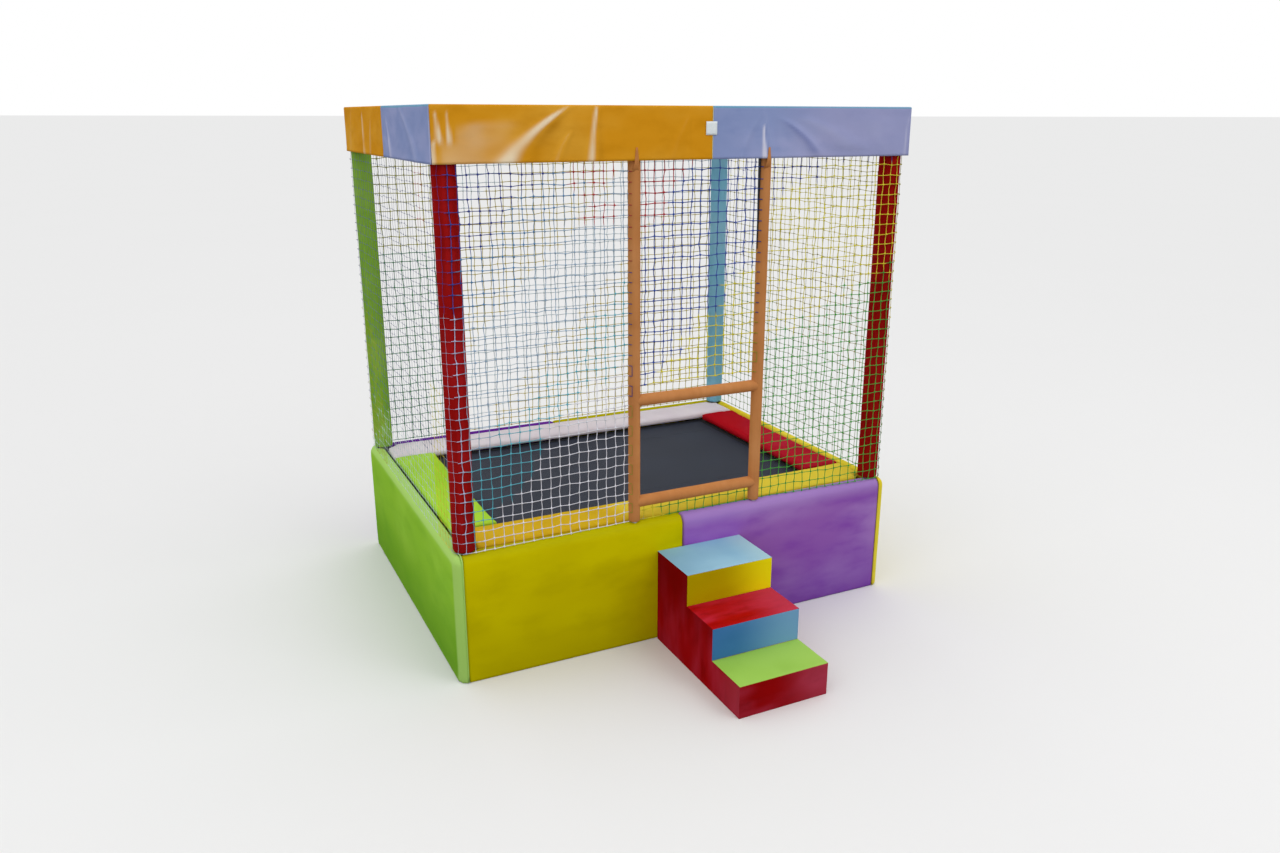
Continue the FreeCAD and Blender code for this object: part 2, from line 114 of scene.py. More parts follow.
class Shader:
    def __init__(self, name, **constants):
        self.material = bpy.data.materials.new(name) if isinstance(name, str) else name
        self.material.use_nodes = True
        self.tree = self.material.node_tree
        self.surface = next(n for n in self.tree.nodes if n.type in ("BSDF_PRINCIPLED", "BACKGROUND"))
        self.wear(**constants)

    def put(self, socket, value):
        if isinstance(value, Value):
            self.tree.links.new(value.socket, socket)
        elif hasattr(value, "__len__") and len(value) == 3 and socket.type == "RGBA":
            socket.default_value = (*value, 1)
        else:
            socket.default_value = value

    def add(self, kind, settings=None, sockets=None, output=0):
        node = self.tree.nodes.new(kind)
        for key, value in (settings or {}).items():
            setattr(node, key, value)
        for key, value in (sockets or {}).items():
            self.put(node.inputs[key], value)
        return Value(self, node.outputs[output])

    def place(self, stretch=(1, 1, 1)):
        # the piece's own coordinates, in metres, stretched
        spot = self.add("ShaderNodeTexCoord", output=3)
        return self.add("ShaderNodeVectorMath", {"operation": "MULTIPLY"}, {0: spot, 1: stretch})

    def cloud(self, scale, detail=2.0, stretch=(1, 1, 1), rough=0.5, warp=0.0):
        return self.add("ShaderNodeTexNoise", None, {"Vector": self.place(stretch), "Scale": scale,
                        "Detail": detail, "Roughness": rough, "Distortion": warp})

    def span(self, value, low, high, first=0.0, last=1.0):
        # value between low and high, eased to first..last
        return self.add("ShaderNodeMapRange", {"interpolation_type": "SMOOTHSTEP"},
                        {0: value, 1: low, 2: high, 3: first, 4: last})

    def mix(self, factor, first, second, how="MIX"):
        return self.add("ShaderNodeMix", {"data_type": "RGBA", "blend_type": how},
                        {0: factor, 6: first, 7: second}, output=2)

    def axis(self, name):
        spot = self.add("ShaderNodeTexCoord", output=3)
        return self.add("ShaderNodeSeparateXYZ", None, {0: spot}, output="XYZ".index(name))

    def attribute(self, name, output=2):
        return self.add("ShaderNodeAttribute", {"attribute_name": name}, output=output)

    def direct(self):
        # 1 where a ray comes from the camera, a mirror or glass, and 0 where it carries bounced light
        camera, mirror, glass = (self.add("ShaderNodeLightPath", output=k) for k in (0, 3, 4))
        return self.sum("MAXIMUM", self.sum("MAXIMUM", camera, mirror), glass)

    def sum(self, operation, first, second):
        return self.add("ShaderNodeMath", {"operation": operation}, {0: first, 1: second})

    def veil(self, colour, shade, value, low, high, much):
        # shade laid over the colour as value goes from low to high
        return self.mix(self.span(value, low, high, 0, much), colour, tint(shade))

    def threads(self, pitch, ways):
        # the rise and fall of woven threads along each way
        return [self.add("ShaderNodeTexWave", {"wave_type": "BANDS", "bands_direction": way},
                         {"Vector": self.place(), "Scale": wavePitch / pitch}, output=1) for way in ways]

    def bump(self, height, depth, strength):
        return self.add("ShaderNodeBump", None, {"Height": height, "Distance": depth, "Strength": strength})

    def wear(self, **sockets):
        for name, value in sockets.items():
            self.put(self.surface.inputs[name.replace("_", " ")], value)
        return self.material


wavePitch = 0.31416          # of a wave texture at scale 1, in metres
fabric = {"specular": 0.0, "coat": 0.03, "weave": 0.0016, "bump": 0.0008}


def coatedFabric(name, base, light, dark, roughness=0.45, cloudScale=1.6, cloudy=0.5,
                 stretch=(1, 1, 2.2), streaks=0.0, edge=(), extra=None):
    # coated polyester over foam: broad fading, faint scuffs and the scrim's fine weave under the coating
    s = Shader(name, Specular_IOR_Level=fabric["specular"], Coat_Weight=fabric["coat"], Coat_Roughness=0.3)
    patch = s.cloud(cloudScale * 2.3, 3, stretch, 0.5)
    colour = s.veil(tint(base), light, s.cloud(cloudScale, 2, stretch, 0.45), 0.35, 0.75, cloudy)
    colour = s.veil(colour, dark, patch, 0.4, 0.8, cloudy * 0.9)
    if streaks:
        colour = s.veil(colour, dark, s.cloud(1.0, 4, (26, 26, 1.4), 0.6), 0.35, 0.7, streaks)
        colour = s.veil(colour, light, s.cloud(1.0, 3, (11, 11, 0.5), 0.6), 0.5, 0.75, streaks)
    scuff = s.span(s.cloud(30, 5, (0.3, 1, 1.8), 0.7, 0.6), 0.64, 0.76, 0, 0.16)
    colour = s.mix(scuff, colour, tint(light))
    colour = s.veil(colour, dark, s.cloud(900, 2), 0.3, 0.7, 0.08)
    # gradients along one axis, listed per cover in extras: painted light and shade
    for way, low, high, shade, much in edge:
        colour = s.veil(colour, shade, s.axis(way), low, high, much)
    if extra:
        colour = extra(s, colour)
    across = s.threads(fabric["weave"], "XYZ")
    height = (across[0] + across[1] + across[2]) * 0.12 + s.cloud(60, 4) * 0.5
    gloss = s.span(patch, 0.35, 0.7, roughness - 0.05, roughness + 0.1) + scuff * 0.4
    return s.wear(Base_Color=colour, Roughness=gloss, Normal=s.bump(height, fabric["bump"], 0.6))


def metal(name, base, dull, roughness, metallic=1.0, spangle=90.0):
    s = Shader(name)
    flake = s.add("ShaderNodeTexVoronoi", {"feature": "F1"}, {"Vector": s.place(), "Scale": spangle}, 1)
    grey = s.add("ShaderNodeRGBToBW", None, {0: flake})
    stain = s.span(s.cloud(14, 4, (1, 1, 0.6)), 0.4, 0.75)
    colour = s.mix(grey * 0.35, tint(base), tint(dull))
    return s.wear(Base_Color=s.mix(stain * 0.5, colour, tint(dull)), Metallic=metallic - stain * 0.15,
                  Roughness=roughness + grey * 0.12 + stain * 0.18,
                  Normal=s.bump(s.cloud(240, 3), 0.0004, 0.5))


def wovenTape(name, base, light, pitch, sheen):
    s = Shader(name, Sheen_Weight=sheen, Sheen_Roughness=0.5, Specular_IOR_Level=0.2)
    bands = s.threads(pitch, "XY")
    lift = bands[0] * 0.6 + bands[1] * 0.4
    faded = s.span(s.cloud(3.1, 4), 0.35, 0.75, 0.0, 0.55)
    colour = s.mix(s.span(lift, 0.2, 0.9, 0.0, 0.35) + faded * 0.4, tint(base), tint(light))
    colour = s.veil(colour, light, s.cloud(55, 5), 0.62, 0.8, 0.3)
    return s.wear(Base_Color=colour, Roughness=0.7 - lift * 0.12, Normal=s.bump(lift, 0.0004, 0.8))


def plain(name, base, light, roughness, grain=120.0, **constants):
    s = Shader(name, **constants)
    speck = s.span(s.cloud(grain, 4), 0.35, 0.7)
    return s.wear(Base_Color=s.mix(speck * 0.6, tint(base), tint(light)), Roughness=roughness + speck * 0.1,
                  Normal=s.bump(speck, 0.0006, 0.5))


coverColours = {
    # base, lighter, darker, and the slot that the look goes in
    "greenSide": ("96cc36", "aede4c", "7cb830", "green_cover"),
    "yellowFront": ("ccbd00", "e2d800", "aa9b00", "yellow_cover"),
    "purpleFront": ("9a62ba", "b48cd0", "8444b2", "purple_cover"),
    "yellowEdge": ("f1db37", "f7ef5c", "d4bb1e", "yellow_cover"),
    "redPost": ("a2120f", "b42024", "7c0a06", "red_cover"),
    "greenPost": ("88b834", "a8cc60", "6ca020", "green_cover"),
    "purpleBack": ("6a2a9c", "7c3cac", "581c84", "purple_cover"),
    "bluePost": ("83c1dc", "a5d4e9", "68a7c7", "blue_cover"),
    "goldPad": ("dbb020", "e5c02c", "c79a17", "gold_cover"),
    "palePad": ("e5dce2", "f0edef", "d2c5d0", "pale_pink_cover"),
    "redPad": ("b4101d", "c63658", "8f0819", "red_cover"),
    "greenPad": ("abdd38", "c5ed57", "8dc029", "green_cover"),
    "copper": ("ca874f", "d99a64", "b06f3d", "copper_cover"),
    "orangeValance": ("df991c", "f0b847", "c98408", "orange_valance"),
    "lilacValance": ("919fcd", "b2b5de", "7a8dc0", "lilac_valance"),
    "blueTread": ("93c4dc", "b0d5e6", "7aaacb", "blue_cover"),
    "redTread": ("b00e0c", "cc3048", "8a0a04", "red_cover"),
    "greenTread": ("a0ce58", "b2d870", "86b644", "green_cover"),
    "yellowRiser": ("b39c00", "bea905", "a08a00", "yellow_cover"),
    "blueRiser": ("3f76b0", "5888bc", "326a9e", "blue_cover"),
    "redSide": ("a8080c", "bc3048", "860406", "red_cover"),
    "redRiser": ("98080a", "b43850", "760404", "red_cover"),
}


def foldHighlightsAndShade(s, colour, pale, foldShade):
    # painted highlight along the folds and painted shade beside them, over the coating's colour
    mark = s.attribute("foldLight")
    colour = s.mix(s.span(mark, 0, -0.5, 0, 0.6), colour, tint(foldShade))
    return s.mix(s.span(mark, 0, 1), colour, tint(pale))


def orangeFoldHighlights(s, colour):
    return foldHighlightsAndShade(s, colour, "f6e2c0", "a86c04")


def lilacSeamEdgeAndFoldHighlights(s, colour):
    # with a seam in the middle of the front, a blue line along the top edge, and the folds' painted
    # highlight and shade
    seam = (s.axis("X") > 0.0795) * (1 - (s.axis("X") > 0.0835))
    colour = s.mix(seam * 0.8, colour, tint("dce0a0"))
    edgeLow = valanceTop - 0.018 + 0.02 * s.cloud(2.2, 2)
    band = (s.axis("Z") > edgeLow) * (1 - (s.axis("Z") > valanceTop - 0.0008))
    return foldHighlightsAndShade(s, s.mix(band * 0.55, colour, tint("58b0c0")), "dcdcf0", "5a68a8")


valanceTop = cadBox[1].z
extras = {
    # extra lays the folds' painted highlight and shade on the valances
    "orangeValance": {"extra": orangeFoldHighlights, "roughness": 0.35, "cloudScale": 3.0},
    "lilacValance": {"extra": lilacSeamEdgeAndFoldHighlights, "roughness": 0.3, "cloudScale": 3.0,
                     # lighter and pinker towards +X: painted sheen
                     "edge": [("X", 0.35, 0.8, "b4acd2", 0.4)]},
    # lighter towards +X: painted light
    "goldPad": {"edge": [("X", -0.8, -0.5, "dcb824", 0.5), ("X", -0.4, -0.24, "e8d040", 1.0)]},
    # darker towards the bottom: painted shade; lighter along the rounded top edge and the front corner
    # strip: painted light
    "greenSide": {"edge": [("Z", 0.5, 0.05, "549018", 0.6), ("Z", 0.6, 0.655, "a4d060", 0.7),
                           ("X", wallLow.x + 0.0025, wallLow.x + 0.0075, "b4dc78", 0.75)]},
    # yellowFront and purpleFront: darker towards the bottom, painted shade; the band along the rounded top
    # edge, painted light
    "yellowFront": {"edge": [("Z", 0.45, 0.03, "a89c00", 0.4), ("Z", 0.61, 0.655, "b2ac08", 0.7)]},
    "purpleFront": {"edge": [("Z", 0.45, 0.03, "7434ac", 0.5), ("Z", 0.56, 0.65, "aa88ca", 0.8)],
                    "stretch": (1.0, 1.0, 2.6), "cloudScale": 1.5, "cloudy": 0.85},
    # step sides: darker towards the top, painted shade; lighter and pinker towards the front, painted light
    "redSide": {"edge": [("Z", 0.1, 0.46, "700204", 0.75), ("Y", -1.08, -1.35, "b44458", 0.5)],
                "cloudScale": 4, "stretch": (1, 2.2, 0.8), "cloudy": 0.6},
    # these risers and the blue tread below: lighter towards +X (the blue tread also darker at its left
    # end): painted light from the right
    "redRiser": {"edge": [("X", -0.02, 0.28, "c04860", 0.5)], "cloudScale": 4, "cloudy": 0.6},
    "yellowRiser": {"edge": [("X", -0.02, 0.29, "f0e410", 1.0)]},
    "blueRiser": {"edge": [("X", -0.1, 0.28, "84b2d8", 0.7)]},
    "blueTread": {"edge": [("X", -0.05, -0.2, "7ca6be", 0.5), ("X", 0.12, 0.28, "b8d8de", 0.6)]},
    "redPost": {"streaks": 0.5}, "greenPost": {"streaks": 0.4}, "bluePost": {"streaks": 0.3},
    "copper": {"streaks": 0.25},
    # lighter and pinker towards +X and darker at the left end: painted light and shade
    "redTread": {"edge": [("X", -0.16, -0.1, "b41808", 0.3), ("X", 0.02, 0.28, "d04c68", 0.5)],
                 "cloudScale": 4, "stretch": (1, 3, 1), "cloudy": 0.7},
}
covers = {name: (coatedFabric(name, *three, **extras.get(name, {})), slot)
          for name, (*three, slot) in coverColours.items()}
zinc = metal("zincSteel", "b4b8bc", "8c9094", 0.34)
castZinc = metal("castFitting", "989ca0", "74787c", 0.5, 0.9, 160)
springZinc = metal("springSteel", "c4c6c8", "9a9c9e", 0.26, 1.0, 400)
enamel = plain("frameEnamel", "202124", "303236", 0.38, 300, Coat_Weight=0.2)
rubber = plain("blackRubber", "18181a", "2a2a2c", 0.75, 500)
bedWeave = wovenTape("bedFabric", "262b38", "363e50", 0.0022, 0.0)
tapeWeave = wovenTape("webbing", "15161a", "2c2e36", 0.0018, 0.05)
stitchThread = plain("stitchThread", "484c58", "5c606c", 0.7, 900)
print("materials made:", len(bpy.data.materials))


def newObject(name, data):
    made = bpy.data.objects.new(name, data)
    bpy.context.scene.collection.objects.link(made)
    return made


def finish(piece, look, body="root", stands=()):
    # a look is a material and the name of a slot; only the material is put on the piece
    material, slot = look
    piece.data.materials.append(material)
    piece.data.shade_smooth()
    if stands:
        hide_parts(*stands)
    if body:
        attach(piece, body)


def makePiece(name, points, faces, look, body="root", stands=()):
    mesh = bpy.data.meshes.new(name)
    mesh.from_pydata(np.asarray(points, float).tolist(), [], faces)
    mesh.update()
    piece = newObject(name, mesh)
    finish(piece, look, body, stands)
    return piece


def gridFaces(rows, columns, wrap=False):
    # quads over a grid of points laid out row by row
    return [(i * columns + j, i * columns + (j + 1) % columns, (i + 1) * columns + (j + 1) % columns,
             (i + 1) * columns + j) for i in range(rows - 1) for j in range(columns - (not wrap))]


def closedFaces(rows, columns):
    # a grid of points, the same grid again behind it, and the rim that joins them
    count = rows * columns
    front = gridFaces(rows, columns)
    rim = list(range(columns)) + [columns * k + columns - 1 for k in range(1, rows)]
    rim += [count - 1 - k for k in range(1, columns)] + [columns * k for k in range(rows - 2, 0, -1)]
    back = [tuple(count + i for i in reversed(face)) for face in front]
    return front + back + [(b, a, count + a, count + b) for a, b in zip(rim, rim[1:] + rim[:1])]


def joined(parts):
    # several (points, faces) as one
    points, faces = [], []
    for some, quads in parts:
        base = len(points)
        points.extend(some)
        faces.extend([tuple(base + i for i in f) for f in quads])
    return points, faces


def drift(*spot):
    # smooth noise at a place, -1..1
    return noise.noise(Vector(spot))


def lathe(start, end, profile, wobble, seed):
    # turned about the line from start to end; profile is (share of the way, radius)
    way = (end - start).normalized()
    side = way.orthogonal().normalized()
    up = way.cross(side)
    points, sides = [], sleeveShape["sides"]
    for share, radius in profile:
        centre = start.lerp(end, share)
        for k in range(sides):
            turn = 2 * math.pi * k / sides
            out = side * math.cos(turn) + up * math.sin(turn)
            at = centre + out * radius
            points.append(at + out * wobble * (noise.noise(at * 9 + Vector((seed, 0, 0))) - 0.3))
    return points, gridFaces(len(profile), sides, wrap=True)


def islands(node):
    # the boxes of a node's separate solids
    mesh = bmesh.new()
    mesh.from_mesh(nodes[node].data)
    bmesh.ops.remove_doubles(mesh, verts=mesh.verts, dist=1e-6)
    left, found = set(mesh.verts), []
    while left:
        stack, group = [left.pop()], []
        while stack:
            vert = stack.pop()
            group.append(vert.co.copy())
            for edge in vert.link_edges:
                other = edge.other_vert(vert)
                if other in left:
                    left.discard(other)
                    stack.append(other)
        found.append((Vector([min(p[k] for p in group) for k in range(3)]),
                      Vector([max(p[k] for p in group) for k in range(3)])))
    mesh.free()
    return sorted(found, key=lambda b: tuple(round(x, 4) for x in b[0] + b[1]))


def sweep(path, radius, sides=8, closed=False):
    # a round section along a path of points, with caps unless it's closed
    path = [Vector(p) for p in path]
    count = len(path)
    points, normal = [], None
    for i, at in enumerate(path):
        ahead = path[(i + 1) % count] if closed or i + 1 < count else at
        behind = path[i - 1] if closed or i else at
        way = (ahead - behind).normalized()
        normal = normal or way.orthogonal().normalized()
        normal = (normal - way * normal.dot(way)).normalized()
        across = way.cross(normal)
        for k in range(sides):
            turn = 2 * math.pi * k / sides
            points.append(at + (normal * math.cos(turn) + across * math.sin(turn)) * radius)
    faces = [tuple(k % len(points) for k in face) for face in gridFaces(count + closed, sides, wrap=True)]
    if not closed:
        faces += [tuple(range(sides))[::-1], tuple(range((count - 1) * sides, count * sides))]
    return points, faces


def evaluated(piece):
    graph = bpy.context.evaluated_depsgraph_get()
    mesh = bpy.data.meshes.new_from_object(piece.evaluated_get(graph))
    old = piece.data
    piece.modifiers.clear()
    piece.data = mesh
    bpy.data.meshes.remove(old)
    return piece


def softCopy(node, name, voxel, smoothing=4):
    # a node's solid with evenly spaced points, ready to be pushed about
    piece = newObject(name, nodes[node].data.copy())
    piece.data.materials.clear()
    remesh = piece.modifiers.new("remesh", "REMESH")
    remesh.mode, remesh.voxel_size = "VOXEL", voxel
    soften = piece.modifiers.new("soften", "SMOOTH")
    soften.factor, soften.iterations = 0.5, smoothing
    return evaluated(piece)


def places(piece):
    co = np.empty(len(piece.data.vertices) * 3)
    piece.data.vertices.foreach_get("co", co)
    return co.reshape(-1, 3)


def setPlaces(piece, co):
    piece.data.vertices.foreach_set("co", co.ravel())
    piece.data.update()


def ripple(co, scale, seed=0.0):
    # smooth noise at each point
    return np.array([drift(*spot) for spot in co * scale + (seed, 0, 0)])


def eased(value, low, high):
    t = np.clip((value - low) / (high - low), 0, 1)
    return t * t * (3 - 2 * t)


view = {"place": (-2.3128, -4.6701, 2.601), "tilt": 72.716, "turn": -25.997, "roll": 0.08, "lens": 28.09,
        "sensor": 36, "reach": 20000}
camera = newObject("camera", bpy.data.cameras.new("camera"))
camera.data.lens, camera.data.sensor_width = view["lens"], view["sensor"]
camera.data.clip_end = view["reach"]
camera.location = view["place"]
turned = Euler([math.radians(view["tilt"]), 0, math.radians(view["turn"])]).to_matrix()
camera.rotation_euler = (turned @ Matrix.Rotation(math.radians(view["roll"]), 3, "Z")).to_euler()
bpy.context.scene.camera = camera

studio = {"sky": 0.98, "key": 60.0, "keyAt": (3.0, -5.5, 7.0), "keySize": 3.0, "fill": 22.0,
          "fillAt": (-5.0, -3.5, 5.0), "fillSize": 3.0, "target": (0, 0.4, 0.8), "floor": "ededed",
          "floorFaint": "e4e4e4", "floorUnlit": "909090", "floorSize": 6000.0}
bpy.context.scene.world = bpy.data.worlds.new("studio")
sky = Shader(bpy.context.scene.world, Color=(1, 1, 1))
sky.wear(Strength=sky.direct() * (1 - studio["sky"]) + studio["sky"])


def lamp(name, power, place, size):
    light = bpy.data.lights.new(name, "AREA")
    light.energy, light.size = power, size
    holder = newObject(name, light)
    holder.location = place
    holder.rotation_euler = (Vector(studio["target"]) - Vector(place)).to_track_quat("-Z", "Y").to_euler()


lamp("keyLamp", studio["key"], studio["keyAt"], studio["keySize"])
lamp("fillLamp", studio["fill"], studio["fillAt"], studio["fillSize"])

floorLook = Shader("floorLook", Roughness=0.95, Specular_IOR_Level=0.0)
faint = floorLook.span(floorLook.cloud(0.35, 2), 0.3, 0.7, 0.0, 0.04)
paper = floorLook.mix(faint, tint(studio["floor"]), tint(studio["floorFaint"]))
floorLook.wear(Base_Color=floorLook.mix(floorLook.direct(), tint(studio["floorUnlit"]), paper))
reach = studio["floorSize"]
floor = makePiece("floor", [(-reach, -reach, 0), (reach, -reach, 0), (reach, reach, 0), (-reach, reach, 0)],
                  [(0, 1, 2, 3)], (floorLook.material, None), body=None)
print("camera, lamps and floor set")


walls = {
    # node: (cover, where its noise begins)
    "wall_left": ("greenSide", 11.0), "wall_right": ("yellowEdge", 23.0),
    "wall_front_left": ("yellowFront", 31.0), "wall_front_right": ("purpleFront", 47.0),
    "wall_back_left": ("purpleBack", 59.0), "wall_back_right": ("yellowFront", 67.0),
}
wallShape = {"voxel": 0.013, "tuck": 0.0035, "edge": 0.1, "pucker": 0.0014, "seamPucker": 0.0008,
             "seamReach": 0.16, "skin": (0.004, 0.05), "topRound": 0.02, "topSink": 0.0012,
             "topRipple": 0.0008}


def dressWall(node, cover, seed):
    wall = softCopy(node, node + "_cover", wallShape["voxel"])
    low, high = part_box(node)
    co = places(wall)
    along = 1 if high.y - low.y > high.x - low.x else 0
    across = 1 - along
    outer = 1.0 if (low[across] + high[across]) / 2 > (0, midY)[across] else -1.0
    face = high[across] if outer > 0 else low[across]
    ends = np.minimum(co[:, along] - low[along], high[along] - co[:, along])
    rims = np.minimum(co[:, 2] - low.z, high.z - co[:, 2])
    near = 1 - eased(np.abs(co[:, across] - face), *wallShape["skin"])
    slack = 1 - eased(ends, 0, wallShape["edge"]) * eased(rims, 0, wallShape["edge"])
    seam = 1 - eased(ends, 0, wallShape["seamReach"])
    pucker = ripple(co, (7, 7, 5), seed) * wallShape["pucker"] * (0.4 + 0.6 * slack)
    pucker += ripple(co, (22, 22, 3), seed + 5) * wallShape["seamPucker"] * seam
    co[:, across] -= outer * near * (wallShape["tuck"] * slack + np.abs(pucker))
    top = eased(co[:, 2], high.z - wallShape["topRound"], high.z)
    co[:, 2] -= top * (wallShape["topSink"] + wallShape["topRipple"] * ripple(co, (9, 9, 9), seed + 9))
    setPlaces(wall, np.clip(co, low, high))
    finish(wall, covers[cover], "root", [node])


for node, (cover, seed) in walls.items():
    dressWall(node, cover, seed)
print("walls dressed")


pads = {"pad_front": "goldPad", "pad_back": "palePad", "pad_left": "greenPad", "pad_right": "redPad"}
padShape = {"voxel": 0.011, "shrink": 0.0035, "frames": 14, "reach": 0.009, "ripple": 0.0012,
            "topReach": 0.02, "low": (-0.0005, -0.0005, 0.0002), "high": (0.0005, 0.0005, 0.006)}
padCloth = {"use_pressure": True, "uniform_pressure_force": 3.0, "quality": 3, "tension_stiffness": 25,
            "compression_stiffness": 25, "bending_stiffness": 2}


def stuffPads():
    # pressed out from inside, and then kept within the room that each pad has
    made = {}
    for node in pads:
        pad = softCopy(node, node + "_cushion", padShape["voxel"], 2)
        low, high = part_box(node)
        middle, half = np.array((low + high) / 2), np.array((high - low) / 2)
        co = middle + (places(pad) - middle) * (1 - padShape["shrink"] / half)
        setPlaces(pad, co)
        made[node] = (pad, co)
    for pad, _ in made.values():
        cloth = pad.modifiers.new("cloth", "CLOTH")
        for key, value in padCloth.items():
            setattr(cloth.settings, key, value)
        cloth.settings.effector_weights.gravity = 0
        cloth.collision_settings.use_collision = False
        cloth.point_cache.frame_start, cloth.point_cache.frame_end = 1, padShape["frames"]
    for step in range(1, padShape["frames"] + 1):
        bpy.context.scene.frame_set(step)
    for pad, _ in made.values():
        evaluated(pad)
    bpy.context.scene.frame_set(1)
    for node, (pad, rest) in made.items():
        low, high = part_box(node)
        move = places(pad) - rest
        far = np.linalg.norm(move, axis=1, keepdims=True)
        co = rest + move * np.minimum(1, padShape["reach"] / np.maximum(far, 1e-9))
        top = eased(co[:, 2], low.z + padShape["topReach"], high.z)
        co[:, 2] += padShape["ripple"] * ripple(co, (16, 16, 16), 3.0) * top
        setPlaces(pad, np.clip(co, np.add(low, padShape["low"]), np.add(high, padShape["high"])))
        finish(pad, covers[pads[node]], node + "_body", [node])


stuffPads()
print("pads stuffed")


sleeveShape = {"sides": 32, "step": 0.05, "edge": 0.008, "skin": 0.0004, "pinchReach": 0.03}
sleeves = {
    # node: (cover, wobble, how far the ends are pinched, bore)
    "post_sleeve_front_left": ("redPost", 0.0012, 0.0015, 0.0246),
    "post_sleeve_front_right": ("redPost", 0.0012, 0.0015, 0.0246),
    "post_sleeve_back_left": ("greenPost", 0.0012, 0.0015, 0.0246),
    "post_sleeve_back_right": ("bluePost", 0.0012, 0.0015, 0.0246),
    "top_rail_sleeves": ("lilacValance", 0.0012, 0.0015, 0.0246),
    "door_post_sleeve_left": ("copper", 0.0008, 0.001, 0.0172),
    "door_post_sleeve_right": ("copper", 0.0008, 0.001, 0.0172),
    "door_bar_sleeve_lower": ("copper", 0.0008, 0.0, 0.0172),
    "door_bar_sleeve_upper": ("copper", 0.0008, 0.0, 0.0172),
}


def sleeveProfile(length, radius, bore, pinch):
    # from the bore out over the rounded rim, along the outside and back in
    edge = sleeveShape["edge"]
    count = max(2, int(length / sleeveShape["step"]))
    body = [(edge + (length - 2 * edge) * k / count, radius) for k in range(count + 1)]
    ends = [(0, bore), (0, radius - edge), (edge * 0.3, radius - edge * 0.3)]
    line = ends + body + [(length - at, r) for at, r in reversed(ends)]
    return [(at / length, r - pinch * (1 - min(1, min(at, length - at) / sleeveShape["pinchReach"])))
            for at, r in line]


def dressSleeve(node, cover, wobble, pinch, bore):
    # one piece for each node, with each of its runs
    parts = []
    for index, (low, high) in enumerate(islands(node)):
        size = high - low
        along = max(range(3), key=lambda k: size[k])
        radius = min(size[k] for k in range(3) if k != along) / 2 - sleeveShape["skin"]
        start, end = (low + high) / 2, (low + high) / 2
        start[along], end[along] = low[along], high[along]
        profile = sleeveProfile(size[along], radius, bore, pinch)
        parts.append(lathe(start, end, profile, wobble, index * 7.3 + len(node)))
    piece = makePiece(node + "_cover", *joined(parts), covers[cover], "root", [node])


for node, row in sleeves.items():
    dressSleeve(node, *row)
print("sleeves dressed")


